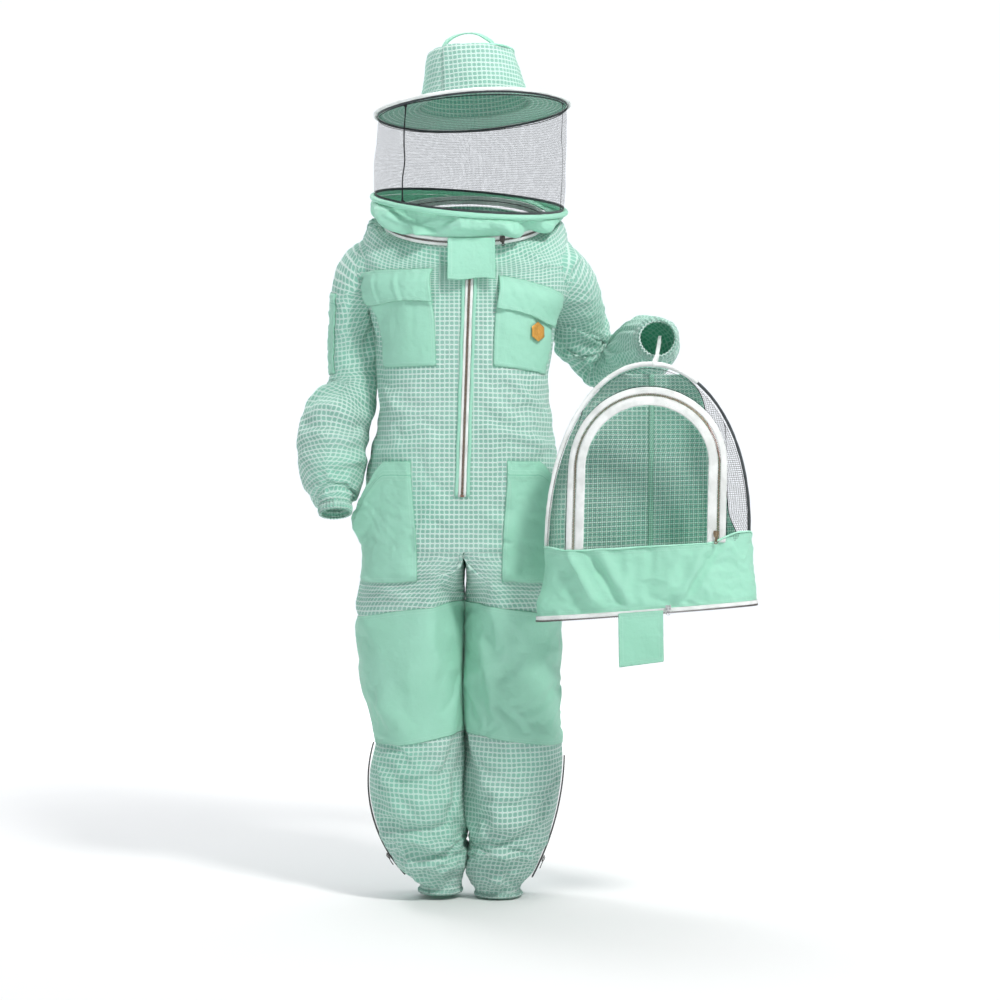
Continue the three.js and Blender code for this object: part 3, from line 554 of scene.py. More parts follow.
def netting(name, pitch, thread, strength):
    """Black tulle: thin threads with air between them."""
    s = Shader(name)
    u, v = s.uv()
    wander = s.mul(s.sub(s.noise(45.0, 2.0), 0.5), 0.0016)
    d = s.most(*[from_middle(s, s.add(value, wander), pitch) for value in (u, v)])
    threads = s.mul(s.ramp(d, 1 - 1.4 * thread, 1 - 0.6 * thread), strength)
    seam = s.ramp(s.seam(), 0.0022, 0.0012)
    cover = s.most(threads, seam)
    clear = s.node("ShaderNodeBsdfTransparent")
    s.set(Base_Color=rgb("17181C"), Roughness=0.6, Specular_IOR_Level=0.3)
    mix = s.node("ShaderNodeMixShader", {0: cover, 1: clear.outputs[0], 2: s.bsdf.outputs[0]})
    s.tree.links.new(mix.outputs[0], s.output.inputs[0])
    return s.material


def tape(name, colour, rib="D9DDDB", pitch=0.0012):
    """Woven tape or elastic: ribs across it and stitching beside its edges."""
    s = Shader(name)
    u, _ = s.uv()
    ribs = threads_of(s, u, pitch)
    patchy = s.noise(30.0, 3.0)
    base = s.mix(s.ramp(patchy, 0.35, 0.7), rgb(colour), rgb(rib))
    base = s.mix(s.mul(s.ramp(ribs, 0.2, 1.0), 0.22), base, rgb(rib))
    stitches, _ = stitch_mask(s, rows=(0.0016,))
    relief = s.add(s.mul(ribs, 0.3), s.mul(stitches, 0.6))
    relief = s.add(relief, s.mul(s.noise(400.0), 0.4))
    s.set(Base_Color=base, Roughness=0.78, Specular_IOR_Level=0.3, Sheen_Weight=0.2,
          Normal=s.bump(relief, 0.6, 0.0005))
    return s.material


def metal(name, colour, dark, rubbed="D9C3A8", metallic=0.9):
    """Cast zip metal, browned in patches and rubbed bright on its edges."""
    s = Shader(name)
    worn = s.noise(300.0, 3.0)
    edge = s.ramp(s.node("ShaderNodeNewGeometry").outputs["Pointiness"], 0.5, 0.58)
    base = s.mix(s.ramp(worn, 0.4, 0.65), rgb(dark), rgb(colour))
    base = s.mix(s.mul(edge, 0.6), base, rgb(rubbed))
    s.set(Base_Color=base, Metallic=metallic, Roughness=s.ramp(worn, 0.3, 0.7, 0.28, 0.5),
          Normal=s.bump(worn, 0.15, 0.0003))
    return s.material


def gold_patch():
    """The stitched emblem's dull gold."""
    s = Shader("emblem_patch_gold")
    grain = s.noise(500.0, 3.0)
    base = s.mix(s.ramp(grain, 0.35, 0.7), rgb("D9A24F"), rgb("C48A3A"))
    s.set(Base_Color=base, Metallic=0.35, Roughness=0.42, Normal=s.bump(grain, 0.25, 0.0003))
    return s.material


MESH = mesh_cloth()
POPLIN = poplin()
NET = netting("veil_netting", pitch=0.0024, thread=0.13, strength=0.9)
WINDOW_NET = netting("window_netting", pitch=0.0038, thread=0.12, strength=0.85)
WHITE_TAPE = tape("white_zip_tape", "F0F3F2")
WHITE_CASING = tape("white_casing", "F4F6F6", pitch=0.0018)
MINT_TAPE = tape("mint_binding", "B5EBD5", "9ADBC0", pitch=0.0016)
DARK_TAPE = tape("dark_zip_tape", "3A3F42", "4A5053")
ELASTIC = tape("white_elastic", "EEF2F0", "CFD6D4", pitch=0.0022)
COPPER = metal("copper_teeth", "8A6558", "3F2E29", "A98A78", 0.75)
BRASS = metal("antique_brass", "80705C", "352B23", "C9B595")
GUNMETAL = metal("dark_teeth", "4A4543", "221E1D", "6E6763", 0.35)
BRIGHT = metal("nickel_pull", "C9CBCC", "7E8082", "F2F2F2")
GOLD = gold_patch()


def finish_piece(ob, material, body=None, cad=(), blend=None):
    """Gives a piece its material and slot and its body, or bakes its transform where a blend is given, and
    hides the CAD nodes that it stands for.
    """
    ob.data.materials.clear()
    ob.data.materials.append(material)
    if blend:
        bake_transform(ob)
    else:
        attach(ob, body)
    if cad:
        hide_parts(*cad)
    return ob


# ---------------------------------------------------------------- the suit's own dimensions

FRONT_Y = -135.0
NECK = {"y": 4.0, "z": 11.0, "pitch": 22.0}
CROTCH_Z, KNEE_TOP_Z, KNEE_BOTTOM_Z = -600.0, -705.0, -946.0


def torso_ring(z, a, back, pitch=0.0, n=2.5, rise=0.0):
    b = (back - FRONT_Y) / 2 / math.cos(math.radians(pitch))
    return {"x": 0, "y": (FRONT_Y + back) / 2, "z": z, "a": a, "b": b, "pitch": pitch, "n": n, "rise": rise}


torso = ring_stack([
    {"x": 0, **NECK, "a": 150, "b": 150, "n": 2},
    torso_ring(-20, 182, 148, 21, 2.2, 42), torso_ring(-64, 198, 136, 12, 2.5, 24),
                    torso_ring(-118, 196, 130, 3),
    torso_ring(-175, 170, 124), torso_ring(-250, 160, 114), torso_ring(-340, 160, 102),
    torso_ring(-430, 174, 118), torso_ring(-515, 190, 138), torso_ring(CROTCH_Z, 190, 134),
])
torso_v = height_solver(torso)

right_sleeve = spine_tube([
    {"at": (-136, 4, -76), "a": 62, "b": 76}, {"at": (-165, 6, -76), "a": 68, "b": 76},
    {"at": (-194, 10, -102), "a": 64, "b": 72}, {"at": (-210, 16, -160), "a": 43, "b": 64},
    {"at": (-213, 22, -230), "a": 42, "b": 58}, {"at": (-215, 22, -300), "a": 44, "b": 56},
    {"at": (-242, 2, -360), "a": 64, "b": 64}, {"at": (-247, -22, -425), "a": 60, "b": 60},
    {"at": (-244, -46, -478), "a": 44, "b": 46}, {"at": (-240, -62, -506), "a": 30, "b": 33},
    {"at": (-238, -70, -530), "a": 29, "b": 32},
])
left_sleeve = spine_tube([
    {"at": (136, 2, -78), "a": 60, "b": 76}, {"at": (165, 8, -80), "a": 65, "b": 75},
    {"at": (194, 32, -105), "a": 61, "b": 64}, {"at": (214, 72, -148), "a": 53, "b": 52},
    {"at": (226, 106, -194), "a": 50, "b": 44}, {"at": (247, 127, -231), "a": 47, "b": 40},
    {"at": (279, 111, -249), "a": 49, "b": 42}, {"at": (312, 62, -240), "a": 60, "b": 52},
    {"at": (338, -2, -218), "a": 63, "b": 59}, {"at": (352, -74, -209), "a": 43, "b": 43},
    {"at": (354, -104, -208), "a": 33, "b": 33},
])

LEG_ARC = {"right": (76.0, -1032.0, 255.0, -1), "left": (-328.0, -971.0, 512.0, 1)}


def arc_x(side, z):
    """x of the arc that a leg zip runs along, at a height."""
    x, centre_z, radius, sign = LEG_ARC[side]
    return sign * (math.sqrt(radius**2 - (z - centre_z) ** 2) - abs(x))


def leg_ring(inner, outer, z, depth):
    return {"x": (inner + outer) / 2, "y": 2, "z": z, "a": abs(outer - inner) / 2, "b": depth, "n": 2.1}


def lower_leg(side, rows):
    """Rings whose outer side follows the leg zip's arc."""
    return [leg_ring(inner, arc_x(side, z), z, depth) for z, inner, depth in rows]


def leg_surface(side, rings):
    """A leg whose top follows half of the torso's lower edge."""
    stack = ring_stack(rings)

    def surface(u, v):
        u, v = grids(u, v)
        whole = stack(u, v)
        share = smooth((CROTCH_Z - between(rings, v, "z")) / 110)[..., None]
        edge = torso(u, np.ones_like(u))
        outer = side * np.sin(2 * np.pi * u) > 0
        half = xyz(np.where(outer, side * np.maximum(1, np.abs(edge[..., 0])), side * 1.0), edge[..., 1],
                   whole[..., 2])
        return half * (1 - share) + whole * share

    return surface


right_leg = leg_surface(-1, [
    leg_ring(-3, -193, CROTCH_Z, 120), leg_ring(-4, -198, -655, 112), leg_ring(-4, -202, KNEE_TOP_Z, 106),
    leg_ring(-11, -195, -840, 98), leg_ring(-6, -176, -915, 95),
    *lower_leg("right", [(-955, -5, 93), (-1010, -4, 92), (-1065, -1, 92), (-1125, -2, 86),
                         (-1165, -2, 76), (-1198, -3, 62)]),
    leg_ring(-7, -86, -1222, 47), leg_ring(-7, -86, -1240, 47),
])
left_leg = leg_surface(1, [
    leg_ring(3, 193, CROTCH_Z, 120), leg_ring(4, 188, -655, 112), leg_ring(7, 183, KNEE_TOP_Z, 104),
    leg_ring(5, 177, -840, 97), leg_ring(4, 178, -915, 94),
    *lower_leg("left", [(-990, 5, 92), (-1065, 5, 90), (-1125, 6, 82), (-1165, 7, 74), (-1202, 10, 66)]),
    leg_ring(20, 106, -1228, 48), leg_ring(20, 106, -1246, 48),
])
leg_v = {"right": height_solver(right_leg), "left": height_solver(left_leg)}
LEGS = {"right": right_leg, "left": left_leg}


# ---------------------------------------------------------------- cloth that settles into folds

CORE_GAP = 9  # mm between the cloth and the shape inside it
settling = []
sewn = []


def core_of(surface, name, v_range=(0.0, 1.0)):
    """The wearer's shape inside a tube, as a collider while the cloth settles."""
    u, v = np.meshgrid(np.arange(40) / 40, np.linspace(*v_range, 40))
    points = surface(u, v) - normals_of(surface, u, v) * CORE_GAP
    return cloth_grid(name, points, closed=True)


def settle(ob, pin, grow, grow_most, core=None, bend=0.6):
    """Queues a cloth to settle: pin and grow are weights per vertex, grow_most how much larger it is cut."""
    settling.append((ob, np.asarray(pin).ravel(), np.asarray(grow).ravel(), grow_most, core, bend))


def run_settling(frames):
    """Runs every queued cloth at once, keeps the shapes they end in and removes the cores."""
    cores, weave = [], 14.0
    for ob, pin, grow, grow_most, core, bend in settling:
        for name, weights in (("pin", pin), ("taut", 1 - grow)):
            group = ob.vertex_groups.new(name=name)
            for w in np.unique(np.round(weights, 2)):
                if w > 0:
                    group.add(np.nonzero(np.round(weights, 2) == w)[0].tolist(), float(w), "REPLACE")
        m = ob.modifiers.new("settle", "CLOTH")
        s = m.settings
        s.quality, s.mass, s.air_damping = 6, 0.03, 1.0
        s.tension_stiffness = s.compression_stiffness = weave
        s.shear_stiffness, s.bending_stiffness = weave * 0.5, bend
        s.tension_damping = s.compression_damping = s.shear_damping = 4
        s.bending_damping = 0.5
        s.vertex_group_mass, s.pin_stiffness = "pin", 1.0
        s.vertex_group_shrink, s.shrink_min, s.shrink_max = "taut", -grow_most, 0.0
        m.collision_settings.use_collision = core is not None
        m.collision_settings.distance_min = 0.003
        m.collision_settings.collision_quality = 2
        m.point_cache.frame_start, m.point_cache.frame_end = 1, frames
        if core is not None:
            core.modifiers.new("core", "COLLISION")
            core.collision.thickness_outer = 0.003
            core.collision.cloth_friction = 6
            cores.append(core)
    scene = bpy.context.scene
    for frame in range(1, frames + 1):
        scene.frame_set(frame)
    graph = bpy.context.evaluated_depsgraph_get()
    for ob, *_ in settling:
        shaped = ob.evaluated_get(graph).data
        co = np.empty(len(shaped.vertices) * 3, np.float32)
        shaped.vertices.foreach_get("co", co)
        ob.modifiers.remove(ob.modifiers["settle"])
        ob.data.vertices.foreach_set("co", co)
        ob.data.update()
        ob.vertex_groups.clear()
    for core in cores:
        bpy.data.objects.remove(core)
    scene.frame_set(1)
    settling.clear()


def sew_down(ob, points, weight):
    """Puts settled cloth back where it was laid, as far as the weight of each point says."""
    co = np.empty(len(ob.data.vertices) * 3, np.float32)
    ob.data.vertices.foreach_get("co", co)
    weight = np.asarray(weight).reshape(-1, 1)
    mixed = co.reshape(-1, 3) * (1 - weight) + points.reshape(-1, 3) * MM * weight
    ob.data.vertices.foreach_set("co", mixed.astype(np.float32).ravel())
    ob.data.update()


def lay_out(surface, nu, v_values, lift):
    """Grid points on a surface, lifted along its normals by a function of (points, u, v)."""
    u, v = np.meshgrid(np.arange(nu) / nu, v_values)
    points, n = surface(u, v), normals_of(surface, u, v)
    return points + n * lift(points, u, v)[..., None], u, v


# ---------------------------------------------------------------- coverall

CHEST_U = {"right": (0.8147, 0.962), "left": (0.0407, 0.19)}
HALF_TURN = {"right": 0.75, "left": 0.25}
SIGN = {"right": -1, "left": 1}


def bump_at(p, centre, size):
    """A smooth bell round a place, 1 at its middle."""
    return np.exp(-(((p - np.array(centre, float)) / np.array(size, float)) ** 2).sum(-1))


def fold_lines(p, lines):
    """Ridges, or valleys where the height is negative, along lines on the front given in x and z."""
    total = 0.0
    for x0, z0, x1, z1, width, height in lines:
        along = np.array([x1 - x0, z1 - z0], float)
        offset = np.stack([p[..., 0] - x0, p[..., 2] - z0], -1)
        t = np.clip(offset @ along / (along @ along), 0, 1)
        gap = np.linalg.norm(offset - t[..., None] * along, axis=-1)
        total = total + height * np.sin(np.pi * (0.12 + 0.76 * t)) * bell(gap, width)
    return total * smooth((30 - p[..., 1]) / 60)


TORSO_FOLDS = [
    (71, -264, 162, -362, 12, 7), (56, -300, 150, -392, 11, -5), (95, -255, 165, -318, 9, -5),
    (41, -372, 160, -402, 12, 5), (-150, -352, -60, -362, 10, -6), (-155, -300, -110, -350, 12, 5),
    (-130, -410, -30, -392, 12, 4), (5, -500, 52, -440, 9, 5), (14, -512, 72, -470, 8, -4),
    (-20, -505, -70, -455, 10, -4), (-72, -541, -6, -568, 9, -7), (-80, -596, -6, -584, 8, 6),
    (8, -586, 75, -553, 9, -6), (10, -596, 70, -592, 7, 4), (-120, -210, -90, -60, 14, 3),
    (60, -60, 40, -250, 12, 3), (-44, -90, -52, -270, 9, 3), (96, -40, 150, -70, 10, 4),
]
SHIN_FOLDS = {
    "right": [
        (-182, -640, -97, -700, 12, 5), (-182, -857, -109, -921, 12, 6), (-60, -740, -120, -860, 16, 4),
        (-164, -978, -11, -955, 10, 5), (-158, -1012, -11, -978, 10, 5), (-152, -1032, -8, -996, 9, -8),
        (-142, -1070, -8, -1036, 12, 8), (-143, -1106, -11, -1094, 9, -9), (-150, -1122, -8, -1140, 10, 9),
        (-125, -1148, -8, -1164, 8, -9), (-118, -1170, -11, -1186, 9, 8), (-105, -1192, -11, -1206, 7, -6),
    ],
    "left": [
        (20, -640, 110, -690, 12, 4), (30, -760, 60, -900, 16, 4), (150, -790, 90, -880, 14, 5),
        (14, -960, 124, -1030, 12, 7), (26, -1010, 168, -978, 10, -6), (11, -1044, 149, -1070, 9, -9),
        (57, -1078, 160, -1046, 11, 7), (14, -1096, 149, -1090, 10, 7), (14, -1136, 124, -1120, 9, -10),
        (17, -1160, 138, -1152, 11, 10), (20, -1184, 118, -1182, 8, -7), (24, -1204, 96, -1202, 8, 5),
    ],
}
SLEEVE_FOLDS = {
    "right": [
        (-273, -328, -167, -350, 10, 9), (-266, -362, -167, -368, 8, -9), (-295, -378, -184, -386, 9, 6),
        (-284, -406, -174, -398, 8, -7), (-284, -434, -176, -420, 9, 6), (-262, -440, -238, -500, 7, -5),
        (-213, -441, -206, -500, 7, 4), (-220, -150, -176, -298, 11, -5), (-196, -110, -222, -260, 10, 4),
    ],
    "left": [
        (224, -170, 289, -146, 8, -10), (267, -192, 306, -157, 7, -9), (245, -191, 298, -152, 8, 8),
        (261, -239, 272, -191, 8, -9), (228, -200, 190, -236, 9, 7), (300, -200, 330, -160, 8, 5),
        (290, -250, 300, -205, 7, 6), (205, -120, 240, -150, 9, 5),
    ],
}
HOLD = 0.06  # how firmly settling cloth keeps to the shape it was laid in


def under_patches(u, z):
    """1 where a pocket is sewn on, so that the cloth under it lies still."""
    calm = np.zeros(np.broadcast(u, z).shape)
    for side, (low, high) in CHEST_U.items():
        top = -74 if side == "right" else -86
        inside = (u > low - 0.012) & (u < high + 0.012) & (z < top) & (z > -272)
        calm = np.maximum(calm, inside)
    for span in ((u > 0.768) & (u < 0.94), (u > 0.06) & (u < 0.232)):
        calm = np.maximum(calm, span & (z < -424) & (z > -664))
    return calm


def make_torso():
    """The body of the coverall, from the neck zip to the crotch."""
    nu, rows = 152, 96

    def folds(p, u, v):
        z = p[..., 2]
        side = 1 - np.abs(np.cos(2 * np.pi * u)) ** 1.5
        calm = smooth(v / 0.08) * smooth((1 - v) / 0.03)
        slant = xyz(p[..., 0], p[..., 1], z + 0.7 * np.abs(p[..., 0]))
        drape = 7.0 * (crease(slant, (70, 150, 52), 2, 2.0) - 0.5) + 3.5 * rumple(p, (60, 60, 90), 3, 5.0)
        waist = bell(z + 338, 34) * side
        gathers = waist * (8.0 * (crease(p, (26, 26, 200), 2, 9.0) - 0.6) - 5.0)
        near_zip = np.where(p[..., 1] > 0, 1.0, smooth((np.abs(p[..., 0] - 4) - 12) / 34))
        chest = (12 * bump_at(p, (182, -20, -225), (60, 110, 46))
                 - 8 * bump_at(p, (165, -20, -305), (60, 110, 40)))
        crumple = bell(z + 570, 46) * (p[..., 1] < 0) * 6.0 * (crease(p, (44, 60, 20), 2, 3.0) - 0.5)
        still = 1 - under_patches(u, z)
        lines = fold_lines(p, TORSO_FOLDS)
        own = (drape * (0.55 + 0.45 * side) + gathers + crumple + 1.3 * lines) * (0.3 + 0.7 * still)
        return (own + chest - 1.5) * calm * np.clip(near_zip, 0, 1)

    v_values = np.linspace(0.0, 1.0, rows + 1)
    points, u, v = lay_out(torso, nu, v_values, folds)
    quarter = nu // 4
    ob = cloth_grid("coverall_body", points, closed=True, seams_u=(quarter, 3 * quarter),
                    panels=[(0, quarter, 0), (quarter, 3 * quarter, 2 * quarter), (3 * quarter, nu, nu)])
    pin = 0.6 * under_patches(u, points[..., 2])
    pin[:2], pin[-1] = 1.0, 1.0
    pin[:, 0], pin[:, 1], pin[:, -1] = 1.0, 1.0, 1.0
    pin[:, 2], pin[:, -2] = np.maximum(pin[:, 2], 0.5), np.maximum(pin[:, -2], 0.5)
    grow = np.clip(0.5 + 0.5 * rumple(points, 120, 2, 3.0), 0, 1)
    settle(ob, pin, grow, 0.05, core_of(torso, "torso_core"))
    return ob, v_values, nu


def make_sleeve(side, surface):
    """A whole sleeve, from the shoulder to its cuff."""
    nu, rows = 60, 84

    def folds(p, u, v):
        calm = smooth(v / 0.1) * smooth((0.93 - v) / 0.05)
        bend = bell(v - 0.52, 0.12)
        pocket = 1.0
        if side == "right":
            pocket = (1 - smooth((u - 0.66) / 0.04) * smooth((0.94 - u) / 0.04)
                      * smooth((v - 0.2) / 0.05) * (v < 0.47))
        rings = crease(p, (60, 60, 24), 2, 1.0 if side == "left" else 6.0)
        gathers = bell(v - 0.9, 0.035) * np.sin(2 * np.pi * u * 15 + 3 * rumple(p, 40, 1, 2.0))
        lump = 9.0 * (rings - 0.5) * (0.45 + bend) + 4.0 * rumple(p, 50, 3, 4.0)
        lump = lump + fold_lines(p, SLEEVE_FOLDS[side])
        if side == "left":
            n = normals_of(surface, u, v)
            under = np.clip(n @ np.array([-0.73, 0.0, -0.68]), 0, 1) ** 1.4
            over = np.clip(n @ np.array([0.6, 0.0, 0.8]), 0, 1)
            sag = 36 * bell(v - 0.45, 0.12) * under + 14 * bell(v - 0.56, 0.07) * over
        else:
            sag = -13 * bell(v - 0.2, 0.09) * bell(u - 0.75, 0.16)
        return (lump * pocket + 1.8 * gathers + sag) * calm

    v_values = np.linspace(0.0, 0.925, rows + 1)
    points, u, v = lay_out(surface, nu, v_values, folds)
    ob = cloth_grid(f"{side}_sleeve", points, closed=True, seams_u=(int(nu * (1 - HALF_TURN[side])),),
                    panels=[(0, nu, nu // 2)])
    pin = np.full(u.shape, HOLD)
    pin[:9], pin[-1] = 1.0, 1.0
    pin[-2] = 0.6
    if side == "right":
        pin[(u > 0.68) & (u < 0.92) & (v > 0.23) & (v < 0.46)] = 0.7
    grow = smooth((v - 0.2) / 0.15) * (0.55 + 0.45 * np.clip(rumple(points, 80, 2, 8.0) + 0.5, 0, 1))
    settle(ob, pin, np.clip(grow, 0, 1), 0.10, core_of(surface, f"{side}_arm_core", (0.0, 0.93)))
    return ob, v_values, nu


def make_leg(side, surface):
    """A whole leg, from the crotch to its cuff; the patch on its knee is laid on later."""
    nu, rows = 84, 110
    seed = 0.0 if side == "right" else 11.0
    outer = HALF_TURN[side]
    inward = -SIGN[side]

    def folds(p, u, v):
        x, z = p[..., 0], p[..., 2]
        calm = smooth((CROTCH_Z - z) / 50) * smooth((0.95 - v) / 0.05)
        zip_side = 1 - bell((u - outer + 0.5) % 1 - 0.5, 0.08) * smooth((-930 - z) / 30)
        low = smooth((-940 - z) / 120)
        across = xyz(x, p[..., 1], z + 0.22 * inward * x)
        rings = crease(across, (120, 110, 40), 2, 3.0 + seed)
        tight = crease(xyz(x, p[..., 1], z - 0.25 * inward * x), (80, 80, 22), 2, 8.0 + seed)
        slant = crease(xyz(x, p[..., 1], z + 0.9 * inward * x), (110, 100, 80), 2, 5.0 + seed)
        gathers = bell(v - 0.93, 0.03) * np.sin(2 * np.pi * u * 19 + 3 * rumple(p, 40, 1, seed))
        drawn_in = -7 * smooth((-1160 - z) / 60)
        inner = bell((u - outer) % 1 - 0.5, 0.09)
        closed_gap = inner * (4.5 * smooth((-640 - z) / 60) * (1 - 0.5 * smooth((-860 - z) / 60))
                              + 1.8 * bell(z + 850, 70))
        lump = (9.0 * (rings - 0.5) * low + 9.0 * (tight - 0.45) * smooth((-1060 - z) / 90)
                + 6.0 * (slant - 0.5)
                + 3.0 * rumple(p, (70, 70, 90), 3, seed) + 2.0 * gathers + fold_lines(p, SHIN_FOLDS[side])
                + drawn_in)
        lump = lump * (1 - 0.7 * under_patches(u, z)) * (1 - 0.7 * inner * smooth((-620 - z) / 40))
        return (lump * zip_side + closed_gap) * calm

    v_values = np.linspace(0.0, 0.955, rows + 1)
    points, u, v = lay_out(surface, nu, v_values, folds)
    quarter = nu // 4
    ob = cloth_grid(f"{side}_leg", points, closed=True, seams_u=(quarter, 3 * quarter),
                    panels=[(0, quarter, 0), (quarter, 3 * quarter, 2 * quarter), (3 * quarter, nu, nu)])
    low = smooth((-1100 - points[..., 2]) / 60)
    pin = np.maximum(0.6 * under_patches(u, points[..., 2]), HOLD + 0.12 * low)
    pin[:2], pin[-1] = 1.0, 1.0
    pin[-2] = 0.6
    away = np.abs((u - outer + 0.5) % 1 - 0.5)
    pin[(away < 0.03) & (points[..., 2] < -940)] = 0.8
    pin = np.maximum(pin, 0.5 * bell(away - 0.5, 0.07) * (points[..., 2] > -920))
    by_zip = bell(away, 0.05) * smooth((-925 - points[..., 2]) / 30)
    sewn.append((ob, points, by_zip))
    grow = 0.3 + 0.6 * smooth((-940 - points[..., 2]) / 160) + 0.2 * rumple(points, 90, 2, seed)
    settle(ob, pin, np.clip(grow, 0, 1), 0.09, core_of(surface, f"{side}_leg_core", (0.0, 0.955)))
    return ob, v_values, nu


def cuff(name, surface, v_range, seed):
    """A gathered elastic cuff: pleats all round and a casing stitched above and below the elastic."""
    nu, rows, count = 168, 14, 30

    def pleats(p, u, v):
        t = (v - v_range[0]) / (v_range[1] - v_range[0])
        wave = (np.sin(2 * np.pi * u * count + 1.6 * rumple(p, 18, 1, seed))
                * (0.7 + 0.5 * rumple(p, 25, 2, seed + 3)))
        stitched = 1 - 0.75 * bell(t - 0.18, 0.06) - 0.75 * bell(t - 0.82, 0.06)
        return 2.0 * wave * stitched + 2.2 * np.sin(np.pi * np.clip(t, 0, 1))

    points, u, v = lay_out(surface, nu, np.linspace(*v_range, rows + 1), pleats)
    ob = cloth_grid(name, points, closed=True, seams_v=(2, 12))
    return thicken(ob, 2.4)


body, *body_grid = make_torso()
sleeves = {"right": make_sleeve("right", right_sleeve), "left": make_sleeve("left", left_sleeve)}
legs = {side: make_leg(side, LEGS[side]) for side in ("right", "left")}


# ---------------------------------------------------------------- the spare veil's shape

HOOD = {"at": (326, -228, -705), "yaw": -8, "tilt": 1, "height": 440.0, "skirt": 114.0, "half": 181.0,
        "depth": 74.0}
WINDOW = {"half": 106.0, "spring": 260.0, "bottom": 118.0, "tape": 34.0}
HEM_SLOPE = 0.1
HOOD_TURN = np.array(Matrix.Rotation(math.radians(HOOD["yaw"]), 3, "Z")
                     @ Matrix.Rotation(math.radians(HOOD["tilt"]), 3, "Y"))


def hood_world(p):
    """From the spare veil's own frame, with its hem at 0, to the part's."""
    p = np.asarray(p, float).copy()
    p[..., 2] += HEM_SLOPE * np.maximum(0, 1 - p[..., 2] / HOOD["height"]) * p[..., 0]
    return p @ HOOD_TURN.T + np.array(HOOD["at"], float)


def hood_half(z):
    """Half the spare veil's width at a height: the hoop's arch above the skirt."""
    high = (np.asarray(z, float) - HOOD["skirt"]) / (HOOD["height"] - HOOD["skirt"])
    low = 196 + (HOOD["half"] - 196) * np.asarray(z, float) / HOOD["skirt"]
    arch_half = HOOD["half"] * np.sqrt(np.maximum(0, 1 - np.abs(np.maximum(high, 0)) ** 2.2))
    return np.where(np.asarray(z) < HOOD["skirt"], low, arch_half)


def hood_depth(z):
    """How far its front stands from the hoop's plane."""
    return HOOD["depth"] * (1 - 0.62 * (np.asarray(z, float) / HOOD["height"]) ** 2)


def hood_front(x, z, lift=0.0):
    """Points on its bowed front."""
    share = np.minimum(1, np.abs(x) / np.maximum(1, hood_half(z)))
    y = -hood_depth(z) * np.maximum(0, 1 - share**2.2) ** (1 / 2.2) - lift
    return np.stack(np.broadcast_arrays(x, y, z), -1)


def front_normals(points):
    """Outward directions of the spare veil's front."""
    x, z = points[..., 0], points[..., 2]
    e = 0.5
    gx = (hood_front(x + e, z)[..., 1] - hood_front(x - e, z)[..., 1]) / (2 * e)
    gz = (hood_front(x, z + e)[..., 1] - hood_front(x, z - e)[..., 1]) / (2 * e)
    n = xyz(gx, -np.ones_like(gx), gz)
    return unit(n)


def arch(s, grow):
    """The outline of the window at s, from its lower left round the top, grown by some mm."""
    half = WINDOW["half"] + grow
    straight = WINDOW["spring"] - WINDOW["bottom"]
    total = 2 * straight + math.pi * half
    along = np.asarray(s, float) * total
    angle = np.pi - (along - straight) / half
    x = np.where(along < straight, -half, np.where(along > total - straight, half, half * np.cos(angle)))
    z = np.where(along < straight, WINDOW["bottom"] + along,
                 np.where(along > total - straight, WINDOW["bottom"] + total - along,
                          WINDOW["spring"] + half * np.sin(angle)))
    return x, z


def hoop_line(s):
    """x and z of the hoop at s, from the wearer's right over the top."""
    angle = np.pi * (1 - np.asarray(s, float))
    z = (HOOD["skirt"] + 4
         + (HOOD["height"] - HOOD["skirt"] - 10) * np.maximum(0, np.sin(angle)) ** (2 / 2.2))
    return (HOOD["half"] - 1) * np.cos(angle), z


def skirt_top(angle):
    """The skirt's upper edge, which is pulled up where the hoop ends, most on the wearer's left."""
    wings = 18 * smooth((np.sin(angle) - 0.55) / 0.35) + 8 * smooth((-np.sin(angle) - 0.72) / 0.25)
    sag = xyz(300 * np.sin(angle), 300 * np.cos(angle), 0 * angle)
    return HOOD["skirt"] + 4 + wings * smooth(np.cos(angle) * 2 + 0.6) + 0.5 * rumple(sag, 60, 2, 2.0)


